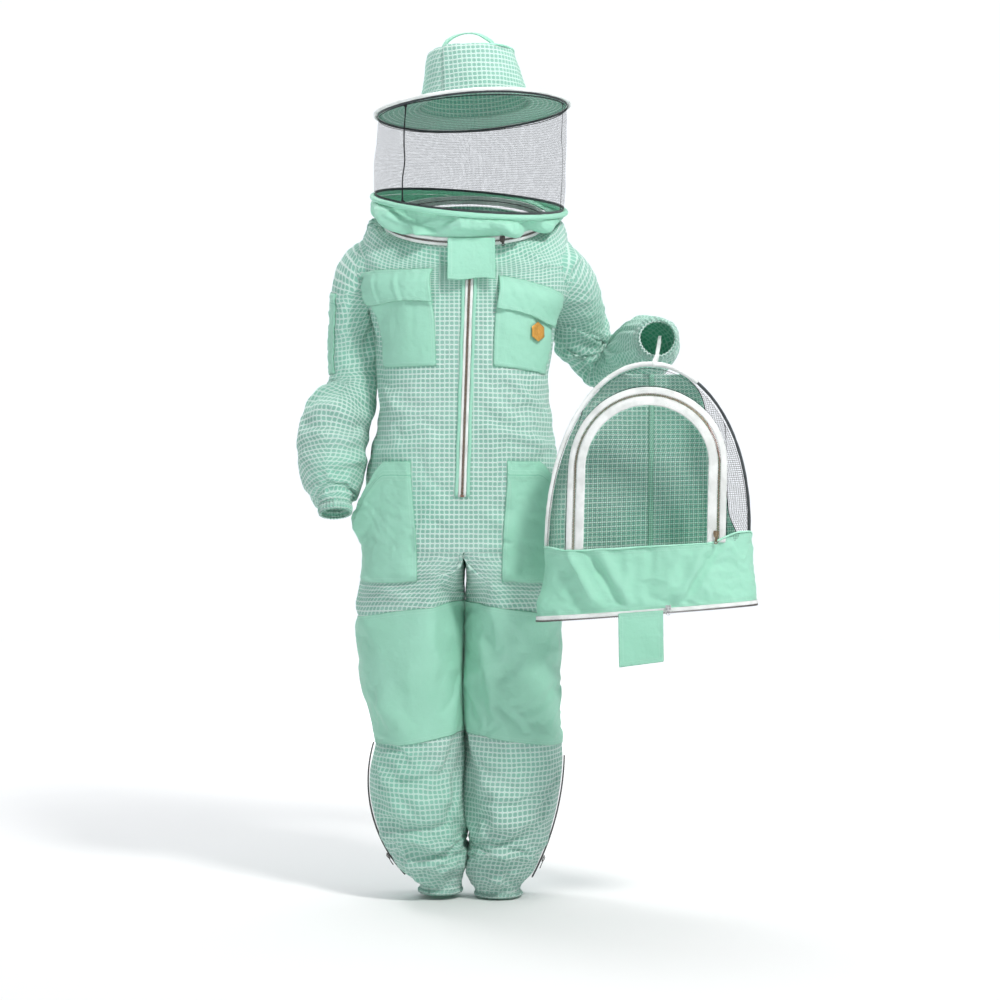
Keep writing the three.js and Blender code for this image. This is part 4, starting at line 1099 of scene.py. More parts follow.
def make_spare_skirt():
    """The spare veil's poplin skirt, open below, with slanted folds on its front."""
    nu, rows = 180, 30
    u, t = np.meshgrid(np.arange(nu) / nu, np.linspace(0, 1, rows + 1))
    angle = 2 * np.pi * u
    top = skirt_top(angle)
    z = top + (8 - top) * t
    a, b = hood_half(np.minimum(z, HOOD["skirt"])), hood_depth(z)
    p = oval(angle, a, b, z)
    x, y = p[..., 0], p[..., 1]
    out = outward(angle)
    calm = smooth((z - 6) / 30) * (0.45 + 0.55 * smooth(t / 0.2))
    slant = xyz(x + 0.6 * z, y, z)
    wave = 9.0 * (crease(slant, (60, 90, 190), 2, 4.0) - 0.5) + 4.0 * rumple(p, (80, 80, 60), 3, 1.0)
    wave = wave + 3.5 * smooth(1 - t / 0.25)
    for fold_x, lean, wide, high in ((-128, 0.55, 9, 12), (-100, 0.7, 9, -9), (-72, 0.5, 10, 5),
                                     (-30, 0.02, 8, 4),
                                     (12, -0.02, 8, -4), (60, -0.3, 12, 4), (100, -0.4, 10, 7),
                                     (128, -0.6, 9, -6)):
        line = x - fold_x - lean * (HOOD["skirt"] - z)
        wave = wave + high * bell(line, wide) * (y < 0) * smooth(z / 40)
    hem = bell(z - 8, 9) * 1.3 * np.sin(x / 5 + 2 * rumple(p, 30, 2, 5.0)) * (t < 1)
    p = p + out * (wave * calm + hem)[..., None]
    ob = cloth_grid("spare_veil_skirt", hood_world(p), closed=True, seams_v=(0, rows),
                    seams_u=(nu // 4, 3 * nu // 4))
    pin = np.full(u.shape, 0.2)
    pin[0], pin[1] = 1.0, 0.8
    pin[-1] = 0.8
    grow = np.clip(0.6 + 0.5 * rumple(p, 60, 2, 6.0), 0, 1)
    settle(ob, pin, grow, 0.04, None, bend=0.4)
    return ob, p.shape


def make_collar():
    """The poplin skirt between the neck zip and the ring, which sags in soft folds over the zip."""
    nu, rows = 200, 26
    stack = ring_stack([
        {"x": 8, "y": 4, "z": 48, "a": 180, "b": 180, "n": 2, "pitch": 13.6, "roll": 4.7},
        {"x": 4, "y": 2, "z": 38, "a": 174, "b": 174, "n": 2, "pitch": 17, "roll": 2},
        {"x": 0, "y": NECK["y"] - 7.7, "z": NECK["z"] + 19, "a": 155, "b": 155, "n": 2, "pitch": 22},
    ])

    def by_flap(p, v):
        return 0.95 * np.exp(-(((p[..., 0] - 14) / 56) ** 4)) * (p[..., 1] < 0) * smooth((v - 0.4) / 0.3)

    def folds(p, u, v):
        t = np.sin(np.pi * np.clip(v, 0, 1)) ** 0.8
        turn = (u + 0.5) % 1 - 0.5
        big = 11.0 * (crease(p, (70, 70, 300), 2, 12.0) - 0.45)
        for at, lean, wide, high in ((-0.150, 0.09, 0.022, 14), (-0.105, 0.02, 0.016, -12),
                                     (-0.07, -0.09, 0.02, 13),
                                     (-0.03, -0.03, 0.014, -6), (0.075, 0.06, 0.02, 12),
                                     (0.115, 0.05, 0.016, -10), (0.155, -0.03, 0.02, 11)):
            big = big + high * bell(turn - at - lean * (v - 0.5), wide)
        down = np.clip((v - 0.18) / 0.68, 0, 1)
        left, right = -0.148 + 0.098 * down, -0.012 - 0.036 * down
        hollow = smooth((turn - left) / 0.014) * smooth((right - turn) / 0.014) * smooth((0.9 - v) / 0.12)
        lip = bell(turn - left + 0.012, 0.012) * smooth((0.92 - v) / 0.1)
        bulge = t * (big * (1 - 0.7 * hollow) + 2.5 * rumple(p, (30, 30, 24), 3, 7.0)
                     + 2.0) - 13 * hollow + 6 * lip * t
        return bulge * (1 - by_flap(p, v))

    points, u, v = lay_out(stack, nu, np.linspace(0, 1, rows + 1), folds)
    ob = cloth_grid("veil_collar", points, closed=True, seams_v=(0, rows))
    pin = np.maximum(0.4, by_flap(points, v))
    pin[0], pin[-1] = 1.0, 1.0
    grow = np.clip(0.5 + 0.5 * rumple(points, 50, 2, 2.0), 0, 1) * (1 - by_flap(points, v))
    settle(ob, pin, grow, 0.07, None, bend=0.3)
    return ob, points


spare_skirt, skirt_shape = make_spare_skirt()
collar, collar_points = make_collar()

run_settling(20)
for ob, points, weight in sewn:
    sew_down(ob, points, weight)


# ---------------------------------------------------------------- dressing the coverall

def vertices_of(ob):
    """A mesh's vertices in mm."""
    co = np.empty(len(ob.data.vertices) * 3, np.float32)
    ob.data.vertices.foreach_get("co", co)
    return co.reshape(-1, 3).astype(float) / MM


def settled(ob, v_values, nu):
    """The cloth as it lies, as a surface of u and v again."""
    grid = vertices_of(ob).reshape(len(v_values), nu, 3)
    grid = np.concatenate([grid, grid[:, :1]], 1)

    def surface(u, v):
        u, v = grids(u, v)
        column, row = (u % 1) * nu, np.interp(v, v_values, np.arange(len(v_values)))
        i, j = np.minimum(column.astype(int), nu - 1), np.minimum(row.astype(int), len(v_values) - 2)
        s, t = (column - i)[..., None], (row - j)[..., None]
        return ((grid[j, i] * (1 - s) + grid[j, i + 1] * s) * (1 - t)
                + (grid[j + 1, i] * (1 - s) + grid[j + 1, i + 1] * s) * t)

    return surface


def cloth_normals(surface, u, v):
    """Normals across several threads, so that a patch bridges the smallest wrinkles."""
    return normals_of(surface, u, v, 0.012)


def declare(ob, points, closed=False):
    """Measures the width and length that a sheet's grid of cloth was cut to; the sizes are not kept or used.
    """
    looped = np.concatenate([points, points[:, :1]], 1) if closed else points
    width = np.linalg.norm(np.diff(looped, axis=1), axis=-1).sum(1).max() * MM
    length = np.linalg.norm(np.diff(points, axis=0), axis=-1).sum(0).max() * MM
    across, down = np.diff(looped[:-1], axis=1), np.diff(looped[:, :-1], axis=0)


torso_cloth = settled(body, *body_grid)
leg_cloth = {side: settled(*legs[side]) for side in legs}
arm_cloth = {side: settled(*sleeves[side]) for side in sleeves}

thicken(body, 2.6, subdivide=1)
finish_piece(body, MESH, "coverall",
             ["torso_front_right", "torso_front_left", "torso_back", "waist_elastic"])

ELBOWS = {"right": ((-215, 20, -262), (-236, 6, -382)), "left": ((228, 104, -186), (292, 92, -252))}
for side, surface in (("right", right_sleeve), ("left", left_sleeve)):
    ob = sleeves[side][0]
    thicken(ob, 2.6, subdivide=1)
    start, end = (tuple(c * MM for c in p) for p in ELBOWS[side])
    finish_piece(ob, MESH,
                 cad=[f"{side}_upper_sleeve", f"{side}_elbow_sleeve", f"{side}_lower_sleeve"],
                 blend=("coverall", f"{side}_forearm", start, end))
    ob = cuff(f"{side}_wrist_elastic_cuff", surface, (0.915, 1.0), seed=2.0)
    finish_piece(ob, MESH, f"{side}_forearm", [f"{side}_wrist_cuff"])

KNEES = {"right": -98, "left": 91}
KNEE_SLOPE = 0.15  # the knee patch's edges fall towards the outer side
for side, surface in LEGS.items():
    ob = legs[side][0]
    x = KNEES[side] * MM
    knee = ("coverall", f"{side}_lower_leg", (x, 0.002, -0.740), (x, 0.002, -0.935))
    thicken(ob, 2.6, subdivide=1)
    finish_piece(ob, MESH, cad=[f"{side}_thigh", f"{side}_knee_back", f"{side}_shin"], blend=knee)
    u, t = np.meshgrid(np.linspace(-0.25, 0.25, 65), np.linspace(0, 1, 61))
    z = KNEE_TOP_Z + (KNEE_BOTTOM_Z - KNEE_TOP_Z) * t
    z = z + 14 - KNEE_SLOPE * np.abs(surface(u, leg_v[side](z, 0.25))[..., 0])
    v = leg_v[side](z, 0.25)
    soft = 1.8 + (1.6 * smooth(np.minimum(t, 1 - t) / 0.05)
                  * (0.5 + 0.5 * rumple(surface(u, v), (50, 50, 70), 2, 3.0)))
    points = leg_cloth[side](u, v) + cloth_normals(leg_cloth[side], u, v) * soft[..., None]
    ob = cloth_grid(f"{side}_knee_patch_cloth", points, seams_u=(0, 64), seams_v=(0, 60))
    finish_piece(thicken(ob, 1.3, subdivide=1), POPLIN, cad=[f"{side}_knee_patch"], blend=knee)
    ob = cuff(f"{side}_ankle_elastic_cuff", surface, (0.945, 1.0), seed=5.0)
    finish_piece(ob, MESH, f"{side}_lower_leg", [f"{side}_ankle_cuff"])


def on_suit(side, u, z):
    """Places and normals on the torso's cloth, or on a leg's below the crotch."""
    u, z = grids(u, z)
    tv = torso_v(np.maximum(z, CROTCH_Z + 0.5), u)
    lv = leg_v[side](np.minimum(z, CROTCH_Z - 1.0), 0.25)
    top = (z > CROTCH_Z)[..., None]
    leg = leg_cloth[side]
    return (np.where(top, torso_cloth(u, tv), leg(u, lv)),
            np.where(top, cloth_normals(torso_cloth, u, tv), cloth_normals(leg, u, lv)))


def turn_at(side, x, z):
    """u at which the front of the suit reaches x, at a height."""
    x, z = grids(x, z)
    low, high = np.full(z.shape, 0.004), np.full(z.shape, 0.24)
    for _ in range(18):
        middle = (low + high) / 2
        found = np.abs(on_suit(side, middle if side == "left" else 1 - middle, z)[0][..., 0])
        low, high = np.where(found < np.abs(x), middle, low), np.where(found < np.abs(x), high, middle)
    return (low + high) / 2


def sewn_edge(s, t, top=True):
    """0 at the edges that are sewn down, 1 inside."""
    width = 0.07
    share = smooth(np.minimum(s, 1 - s) / width) * smooth((1 - t) / width)
    return share * smooth(t / width) if top else share


def patch(name, side, u_range, z_of, lift, nu=30, nv=26, thick=1.3, seams_v=None):
    """A poplin patch; s runs from 0 at the outer edge to 1 at the inner one, t from top to bottom."""
    across, t = np.meshgrid(np.linspace(0, 1, nu + 1), np.linspace(0, 1, nv + 1))
    s = 1 - across if side == "left" else across
    z = z_of(s, t)
    low, high = u_range(z)
    base, n = on_suit(side, low + (high - low) * across, z)
    points = base + n * lift(s, t, base)[..., None]
    ob = cloth_grid(name, points, seams_u=(0, nu), seams_v=(nv,) if seams_v is None else seams_v)
    return thicken(ob, thick), points


# Chest pockets: a flat patch with soft upright folds, and a flap that hangs free over its mouth.
FLAP = {"right": (-82.0, -82.0), "left": (-94.0, -126.0)}
for side in ("right", "left"):
    inner, outer = FLAP[side]
    low, high = CHEST_U[side]
    top = lambda s, inner=inner, outer=outer: outer + (inner - outer) * s
    seed = 3.0 if side == "right" else 8.0

    def pocket_lift(s, t, p, seed=seed):
        upright = crease(p, (20, 20, 160), 2, seed) - 0.45
        return 1.8 + sewn_edge(s, t, top=False) * (1.8 + 2.4 * upright * (1 - 0.5 * t)
                                                   + 1.0 * rumple(p, 40, 2, seed))

    ob, points = patch(f"{side}_chest_pocket_patch", side, lambda z, a=low, b=high: (a, b),
                       lambda s, t, top=top, inner=inner: (top(s) - 16) * (1 - t)
                       + (-260 + 0.4 * (top(s) - inner)) * t, pocket_lift, seams_v=(0, 26))
    finish_piece(ob, POPLIN, "coverall", [f"chest_pocket_{side}"])

    def flap_lift(s, t, p, side=side, seed=seed):
        hang = 2.2 + 8.0 * smooth(t * 2.2) - 1.5 * smooth((t - 0.8) / 0.2)
        pleats = 0.0
        if side == "right":
            for at, wide, high in ((0.27, 0.02, 2.4), (0.33, 0.018, -1.6), (0.6, 0.02, 2.2),
                                   (0.66, 0.015, -1.4)):
                pleats = pleats + high * bell(s - at - 0.04 * t, wide) * smooth(t * 3)
        curl = 3.5 * smooth((s - 0.86) / 0.14) * smooth(t * 2) if side == "left" else 0.0
        return hang + pleats + curl + 1.1 * rumple(p, (45, 45, 60), 2, seed + 2) * smooth(t * 4)

    ob, points = patch(f"{side}_pocket_flap_cloth", side, lambda z, a=low, b=high: (a - 0.002, b + 0.002),
                       lambda s, t, top=top: top(s) - (t + 0.03 * np.sin(7 * s) * t) * 60, flap_lift,
                       nu=44, nv=18, thick=1.7, seams_v=(0, 18))
    start, end = points[0, 22] * MM, points[3, 22] * MM
    declare(ob, points)
    finish_piece(ob, POPLIN, cad=[f"{side}_chest_flap"],
                 blend=("coverall", f"{side}_flap", tuple(map(float, start)), tuple(map(float, end))))

# Hip pockets, which gape at the slanted mouth and carry a stitched facing along it.
for side, gape in (("right", 21.0), ("left", 13.0)):
    def hip_range(z, side=side):
        edge = {"right": -96 + 11 * smooth((-430 - z) / 200),
                "left": 79 - 10 * smooth((-430 - z) / 200)}[side]
        inner = turn_at(side, edge, z)
        return (inner, 0 * inner + 0.22) if side == "left" else (0 * inner + 0.78, 1 - inner)

    def hip_lift(s, t, p, gape=gape):
        opening = gape * (1 - smooth(np.hypot(s, 1.3 * t) / 0.8))
        soft = 2.0 * rumple(p, (60, 60, 80), 3, 4.0) + 2.0 * (crease(p, (46, 46, 150), 2, 6.0) - 0.5)
        return 1.8 + opening + sewn_edge(s, t, top=False) * (2.4 + soft)

    ob, points = patch(f"{side}_hip_pocket_patch", side, hip_range,
                       lambda s, t: (-540 + 106 * smooth(s / 0.6)) * (1 - t) - 656 * t, hip_lift,
                       nu=44, nv=44, seams_v=(0, 5, 44))
    finish_piece(ob, POPLIN, "coverall", [f"hip_pocket_{side}"])

# The sleeve pocket.
u, v = np.meshgrid(np.linspace(0.7, 0.9, 21), np.linspace(0.245, 0.45, 33))
s, t = (u - 0.7) / 0.2, (v - 0.245) / 0.205
base = arm_cloth["right"](u, v)
lift = 1.8 + sewn_edge(s, t) * (1.6 + 1.2 * (crease(base, (18, 18, 90), 2, 2.0) - 0.4))
ob = cloth_grid("sleeve_pocket_patch", base + cloth_normals(arm_cloth["right"], u, v) * lift[..., None],
                seams_u=(0, 20), seams_v=(0, 4, 32))
finish_piece(thicken(ob, 1.3), POPLIN, "coverall", ["sleeve_pocket"])


def local_frame(normal, down):
    """Columns across, outwards and up for a small part that lies on cloth."""
    normal = np.asarray(normal, float) / np.linalg.norm(normal)
    up = -np.asarray(down, float)
    up = up - normal * (up @ normal)
    up /= np.linalg.norm(up)
    return np.stack([np.cross(-normal, up), normal, up], 1)


def outline_mesh(name, splines, depth, bevel):
    """A bevelled plate from closed outlines, the first the edge and the others holes, flat in x and z."""
    curve = bpy.data.curves.new(name, "CURVE")
    curve.dimensions, curve.fill_mode = "2D", "BOTH"
    curve.extrude, curve.bevel_depth, curve.bevel_resolution = (depth / 2 - bevel) * MM, bevel * MM, 1
    curve.offset = -bevel * MM
    for points in splines:
        spline = curve.splines.new("POLY")
        spline.points.add(len(points) - 1)
        for k, (x, y) in enumerate(points):
            spline.points[k].co = (x * MM, y * MM, 0, 1)
        spline.use_cyclic_u = True
    holder = put_in_scene(name, curve)
    mesh = bpy.data.meshes.new_from_object(holder.evaluated_get(bpy.context.evaluated_depsgraph_get()))
    bpy.data.objects.remove(holder)
    mesh.transform(Matrix.Rotation(math.radians(90), 4, "X"))
    return put_in_scene(name, mesh)


def circle(radius, count=20, at=(0, 0), turn=1):
    """An outline of a circle, run backwards where turn is -1."""
    return [(at[0] + radius * math.cos(turn * 2 * math.pi * k / count),
             at[1] + radius * math.sin(turn * 2 * math.pi * k / count)) for k in range(count)]


def make_slider(name, at, normal, down, pull, body_name, cad, material=BRASS, ring=False):
    """A zip slider: two shields, the bridge between them and a pull tab that hangs from it."""
    shield = [(-4.6, 6), (-2, 6.6), (0, 5.4), (2, 6.6), (4.6, 6), (5, 1), (3.6, -4.6), (2, -6), (-2, -6),
              (-3.6, -4.6), (-5, 1)]
    front = outline_mesh(name + "_shield", [shield], 1.4, 0.4)
    front.data.transform(Matrix.Translation((0, -0.0019, 0)))
    back = outline_mesh(name + "_back", [shield], 1.0, 0.3)
    back.data.transform(Matrix.Translation((0, 0.0004, 0)))
    bridge = tube_along(name + "_bridge", [(0, -2.4, 4.4), (0, -4.2, 3.4), (0, -4.6, 0.5), (0, -4.2, -2.4),
                                           (0, -2.4, -3.4)], 0.75, 8)
    if ring:
        tab = tube_along(name + "_tab", [(x, -3.6, y - 6.5) for x, y in circle(4.2, 24)], 0.7, 8,
                         closed=True)
    else:
        end = -4.5 - pull
        edge = ([(-1.6, -2.2), (-1.3, -5), (-2.4, end + 3)]
                + [(3.0 * math.cos(a), end + 3.0 * math.sin(a))
                   for a in np.linspace(math.radians(160), math.radians(380), 14)])
        edge += [(2.4, end + 3), (1.3, -5), (1.6, -2.2)]
        tab = outline_mesh(name + "_tab", [edge, circle(1.5, 16, (0, end), -1)], 1.3, 0.3)
        tab.data.transform(Matrix.Translation((0, -0.0036, 0)))
    ob = join(name, [front, back, bridge, tab])
    ob.data.shade_smooth()
    turn = Matrix(local_frame(normal, down).tolist())
    flip = turn @ Matrix.Diagonal((1, -1, 1))
    place = Matrix.Translation(Vector([c * MM for c in at])) @ flip.to_4x4()
    ob.data.transform(place)
    if flip.determinant() < 0:
        ob.data.flip_normals()
    return finish_piece(ob, material, body_name, cad)


def teeth_row(name, path, normals, material, body_name, size, stagger, rows=(-1, 1)):
    """Zip teeth as small blocks along a path, alternating from one side to the other."""
    path, normals = np.asarray(path, float), np.asarray(normals, float)
    length = np.concatenate([[0], np.cumsum(np.linalg.norm(np.diff(path, axis=0), axis=1))])
    centres, axes = [], []
    pitch = 3.0
    for k in range(int(length[-1] / (pitch / 2))):
        at = (k + 0.5) * pitch / 2
        side = 1 if k % 2 else -1
        if side not in rows:
            continue
        p, q, n = (np.array([np.interp(s, length, table[:, c]) for c in range(3)])
                   for s, table in ((at, path), (at + 0.4, path), (at, normals)))
        along = (q - p) / max(np.linalg.norm(q - p), 1e-9)
        n = n - along * (n @ along)
        n /= np.linalg.norm(n)
        across = np.cross(along, n)
        centres.append(p + across * stagger * side)
        axes.append([across, along, n])
    ob = boxes(name, centres, axes, size)
    return finish_piece(ob, material, body_name)


# The front zip: two white tapes in a pair of cloth welts, with copper teeth between them.
ZIP_TOP, ZIP_END = np.array([12.0, FRONT_Y, -54.0]), np.array([-3.0, FRONT_Y, -498.0])
steps = np.linspace(0, 1, 60)[:, None]
line = ZIP_TOP + (ZIP_END - ZIP_TOP) * steps
down = (ZIP_END - ZIP_TOP) / np.linalg.norm(ZIP_END - ZIP_TOP)
forward = np.tile([0.0, -1.0, 0.0], (60, 1))
sideways = np.cross(down, [0, -1, 0])
parts = []
for k, sign in enumerate((-1, 1)):
    wave = (0.5 * np.sin(np.linspace(0, 40, 60) + 2 * k))[:, None] * np.array([0, -1.0, 0])
    parts.append(band(f"zip_tape_{k}", line + sideways * sign * 4.4 + wave * 0.5, forward, 5.4, 1.6, rows=4,
                      crown=0.3))
tapes = join("front_zip_tapes", parts)
finish_piece(thicken(tapes, 0.8), WHITE_TAPE, "coverall", ["front_zip_tape"])
for k, sign in enumerate((-1, 1)):
    wave = (0.8 * np.sin(np.linspace(0, 30, 60) + 3 * k))[:, None] * sideways
    welt = tube_along(f"front_zip_welt_{k}", line + sideways * sign * 10.4 + wave * 0.5
                      + np.array([0, -1.0, 0]), 3.2, 10, normals=forward, squash=0.8)
    finish_piece(welt, POPLIN, "coverall")
teeth_row("front_zip_teeth", line + np.array([0, -2.6, 0]), forward, COPPER, "coverall",
          size=(2.6, 1.05, 1.8), stagger=0.7)
stop = boxes("front_zip_stop", [ZIP_END + np.array([0, -2.8, 1.0])], [np.eye(3)], [(6.5, 2.2, 4.0)])
finish_piece(stop, COPPER, "coverall")
make_slider("front_zip_pull", ZIP_TOP + down * 14 + np.array([0, -4.4, 0]), (0, -1, 0), down, 22,
            "front_slider", ["front_zip_slider"])

# The emblem: a plain six-sided honeycomb cell, stitched on.
place, n = on_suit("left", 0.132, -196.0)
turn = local_frame(n, (0, 0, -1))
rings, heights = [0.0, 0.35, 0.52, 0.58, 0.80, 0.86, 1.0], [1.6, 1.6, 1.6, 2.3, 2.3, 1.7, 1.5]
corner = [(math.sin(k * math.pi / 3), math.cos(k * math.pi / 3)) for k in range(6)]
edge = [((1 - f) * corner[k][0] + f * corner[(k + 1) % 6][0],
         (1 - f) * corner[k][1] + f * corner[(k + 1) % 6][1])
        for k in range(6) for f in (0, 0.25, 0.5, 0.75)]
grid = np.array([[[x * r * 18, h, z * r * 18] for x, z in edge] for r, h in zip(rings, heights)])
grid = grid @ turn.T + place + n * 4.4
ob = cloth_grid("honeycomb_emblem", grid, closed=True)
finish_piece(thicken(ob, 1.4), GOLD, "coverall", ["emblem_patch"])


# ---------------------------------------------------------------- the neck zip

def tilted(x, y, z, pitch, roll=0.0):
    """A frame's placing function: pitched about X, rolled about Y and moved."""
    turn = np.array(Matrix.Rotation(math.radians(pitch), 3, "X")
                    @ Matrix.Rotation(math.radians(roll), 3, "Y"))
    return (lambda p: np.asarray(p, float) @ turn.T + np.array((x, y, z), float)), turn


neck, neck_turn = tilted(0, NECK["y"], NECK["z"], NECK["pitch"])


def round_path(radius, z, count=200):
    """A level circle that starts at the front, with its outward directions."""
    angle = np.linspace(0, 2 * math.pi, count, endpoint=False)
    path = xyz(radius * np.sin(angle), -radius * np.cos(angle), 0 * angle + z)
    out = outward(angle)
    return path, out


for name, z, body_name, cad in (("neck_tape_lower", 7.0, "coverall", "neck_zip_lower_tape"),
                                ("neck_tape_upper", 16.0, "round_veil", "neck_zip_upper_tape")):
    path, out = round_path(151.0, z)
    path = path + out * (0.5 * np.sin(np.linspace(0, 120, 200)))[:, None]
    ob = band(name, neck(path), out @ neck_turn.T, 7.4, 1.6, closed=True, crown=0.8)
    finish_piece(thicken(ob, 1.4), WHITE_TAPE, body_name, [cad])
path, out = round_path(153.2, 11.0, 300)
closed = lambda a: np.concatenate([a, a[:1]])
teeth_row("neck_teeth_lower", closed(neck(path)), closed(out @ neck_turn.T), GUNMETAL, "coverall",
          size=(2.6, 1.2, 1.4), stagger=0.5, rows=(-1,))
teeth_row("neck_teeth_upper", closed(neck(path)), closed(out @ neck_turn.T), GUNMETAL, "round_veil",
          size=(2.6, 1.2, 1.4), stagger=0.5, rows=(1,))
angle = math.radians(27)
out = np.array([math.sin(angle), -math.cos(angle), 0])
make_slider("neck_zip_pull", neck(out * 154.2 + np.array([0, 0, 13])), neck_turn @ out,
            neck_turn @ np.array([0, 0, -1.0]), 5, "neck_slider", ["neck_zip_slider"], GUNMETAL)


# ---------------------------------------------------------------- the round-hat veil

RING_R = 182.0
VEIL_RING = {"x": 8, "y": 4, "z": 53, "pitch": 13.6, "roll": 4.7}
BRIM = {"x": 14, "y": 6, "z": 230, "pitch": -1.3, "roll": -3.6}
CROWN_X = 4.0
ring_place, ring_turn = tilted(**VEIL_RING)
hat, hat_turn = tilted(**BRIM)

declare(collar, vertices_of(collar).reshape(collar_points.shape),
        closed=True)
thicken(collar, 1.2, subdivide=1)
finish_piece(collar, POPLIN, "round_veil", ["collar_skirt"])

path, out = round_path(RING_R, 0.0, 160)
puckers = lambda p: 0.35 * rumple(p, 9, 2, 3.0)
ring = tube_along("veil_ring_casing", ring_place(path), 5.0, 16, closed=True, wobble=puckers)
finish_piece(ring, POPLIN, "round_veil", ["neck_ring"])
path, out = round_path(RING_R - 4.5, 6.0, 160)
ob = band("veil_ring_binding", ring_place(path), out @ ring_turn.T, 4.5, 0.6, closed=True)
finish_piece(thicken(ob, 1.0), DARK_TAPE, "round_veil")

nu, rows = 144, 20
net_rings = ring_stack([{**BRIM, "z": BRIM["z"] - 7, "a": 177, "b": 177, "n": 2},
                        {**VEIL_RING, "z": VEIL_RING["z"] + 7, "a": 179, "b": 179, "n": 2}])


def net_folds(p, u, v):
    """The netting bellies a little and its seams pull it into upright ripples."""
    turn = 2 * np.pi * u
    ripple = 3.2 * rumple(xyz(np.cos(turn) * 60, np.sin(turn) * 60, p[..., 2] * 0.25), 15, 2, 5.0)
    lean = 2.5 * rumple(xyz(p[..., 0], p[..., 1], p[..., 2] * 0.6), 55, 2, 1.0)
    return np.sin(np.pi * v) * (ripple + lean - 1.0) + 3 * np.sin(np.pi * v) * bell(u - 0.22, 0.06)


points, u, v = lay_out(net_rings, nu, np.linspace(0, 1, rows + 1), net_folds)
ob = cloth_grid("veil_tulle", points, closed=True, seams_u=(29, 127), seams_v=(0, rows))
declare(ob, points, closed=True)
finish_piece(ob, NET, "round_veil", ["veil_net"])

# The brim of three-layer mesh, bound in white above and in black where the netting meets it.
u, r = np.meshgrid(np.arange(nu) / nu, np.linspace(0, 1, 15))
angle = 2 * np.pi * u
inner_a, inner_b = 103.0, 115.0
a, b = inner_a + (179 - inner_a) * r, inner_b + (179 - inner_b) * r
height = (9 - 9 * r**1.4 + 1.3 * np.sin(angle * 3 + 1) * r
          + 1.0 * rumple(xyz(a * np.sin(angle), b * np.cos(angle), 0 * a), 40, 2, 3.0))
grid = xyz(a * np.sin(angle) + CROWN_X * (1 - r), -b * np.cos(angle), height)
ob = cloth_grid("hat_brim_cloth", hat(grid), closed=True, seams_u=(0, 36, 72, 108), seams_v=(0, 5, 10, 14))
finish_piece(thicken(ob, 3.2, offset=0.0), MESH, "round_veil", ["hat_brim"])
edge_height = 1.3 * np.sin(2 * np.pi * np.arange(160) / 160 * 3 + 1)
path, out = round_path(RING_R + 1.5, 0.0, 160)
path[:, 2] += edge_height
ob = tube_along("brim_white_piping", hat(path), 3.2, 12, closed=True, wobble=puckers)
finish_piece(ob, WHITE_CASING, "round_veil", ["brim_piping"])
path, out = round_path(RING_R - 2.5, -4.2, 160)
path[:, 2] += edge_height
ob = band("brim_black_binding", hat(path), out @ hat_turn.T, 4.0, 0.4, closed=True)
finish_piece(thicken(ob, 1.2), DARK_TAPE, "round_veil")

crown = ring_stack([{"x": CROWN_X, "y": 0, "z": 107, "a": 78, "b": 88, "n": 2.2},
                    {"x": CROWN_X, "y": 0, "z": 98, "a": 84, "b": 95, "n": 2.2},
                    {"x": CROWN_X, "y": 0, "z": 56, "a": 93, "b": 105, "n": 2.1},
                    {"x": CROWN_X, "y": 0, "z": 10, "a": 103, "b": 115, "n": 2}])


def crown_folds(p, u, v):
    dents = 3.0 * rumple(p, (60, 60, 50), 3, 2.0) + 2.0 * (crease(p, (30, 40, 70), 2, 5.0) - 0.5)
    seam = -2.2 * bell(u - 0.9, 0.008) + 2.0 * bell(u - 0.912, 0.01)
    return (dents + seam) * smooth(v / 0.12) * smooth((1 - v) / 0.1)


points, u, v = lay_out(crown, 120, np.linspace(0, 1, 29), crown_folds)
ob = cloth_grid("hat_crown_cloth", hat(points), closed=True, seams_u=(24, 60, 108), seams_v=(2, 28),
                panels=[(0, 24, 0), (24, 108, 60), (108, 120, 120)])
finish_piece(thicken(ob, 2.6, subdivide=1), MESH, "round_veil", ["hat_crown"])
u, r = np.meshgrid(np.arange(72) / 72, np.linspace(0.02, 1, 10))
angle = 2 * np.pi * u
grid = xyz(CROWN_X + 80 * r * super_power(np.sin(angle), 2.2), -90 * r * super_power(np.cos(angle), 2.2),
           107.5 - 3.5 * r**4 + 1.2 * rumple(xyz(80 * r * np.sin(angle), 90 * r * np.cos(angle), 0 * r), 30,
                                             2, 1.0))
ob = cloth_grid("hat_crown_top_cloth", hat(grid), closed=True, seams_v=(9,))
finish_piece(thicken(ob, 2.6), MESH, "round_veil", ["hat_crown_top"])
turn = 2 * np.pi * np.arange(120) / 120
path = xyz(CROWN_X + 80.5 * super_power(np.sin(turn), 2.2), -90.5 * super_power(np.cos(turn), 2.2),
           0 * turn + 104.5)
ob = tube_along("crown_top_piping", hat(path), 1.7, 8, closed=True, wobble=puckers)
finish_piece(ob, MINT_TAPE, "round_veil")

angle = np.linspace(0, math.pi, 33)
strap = xyz(-48 * np.cos(angle), 1.5 * np.sin(3 * angle), 112 + 34 * np.sin(angle) ** 0.8
            - 2.5 * bell(angle - 2.4, 0.3))
out = xyz(-np.cos(angle) / 48, 0 * angle, np.sin(angle) / 34)
out = unit(out)
out[:, 1] -= 0.55 + 0.25 * np.sin(3 * angle)
out = unit(out)
ob = band("hat_hanging_strap", hat(strap), out @ hat_turn.T, 12, 0.4, rows=6, crown=0.4)
finish_piece(thicken(ob, 1.8), POPLIN, "hat_loop", ["hanging_loop"])

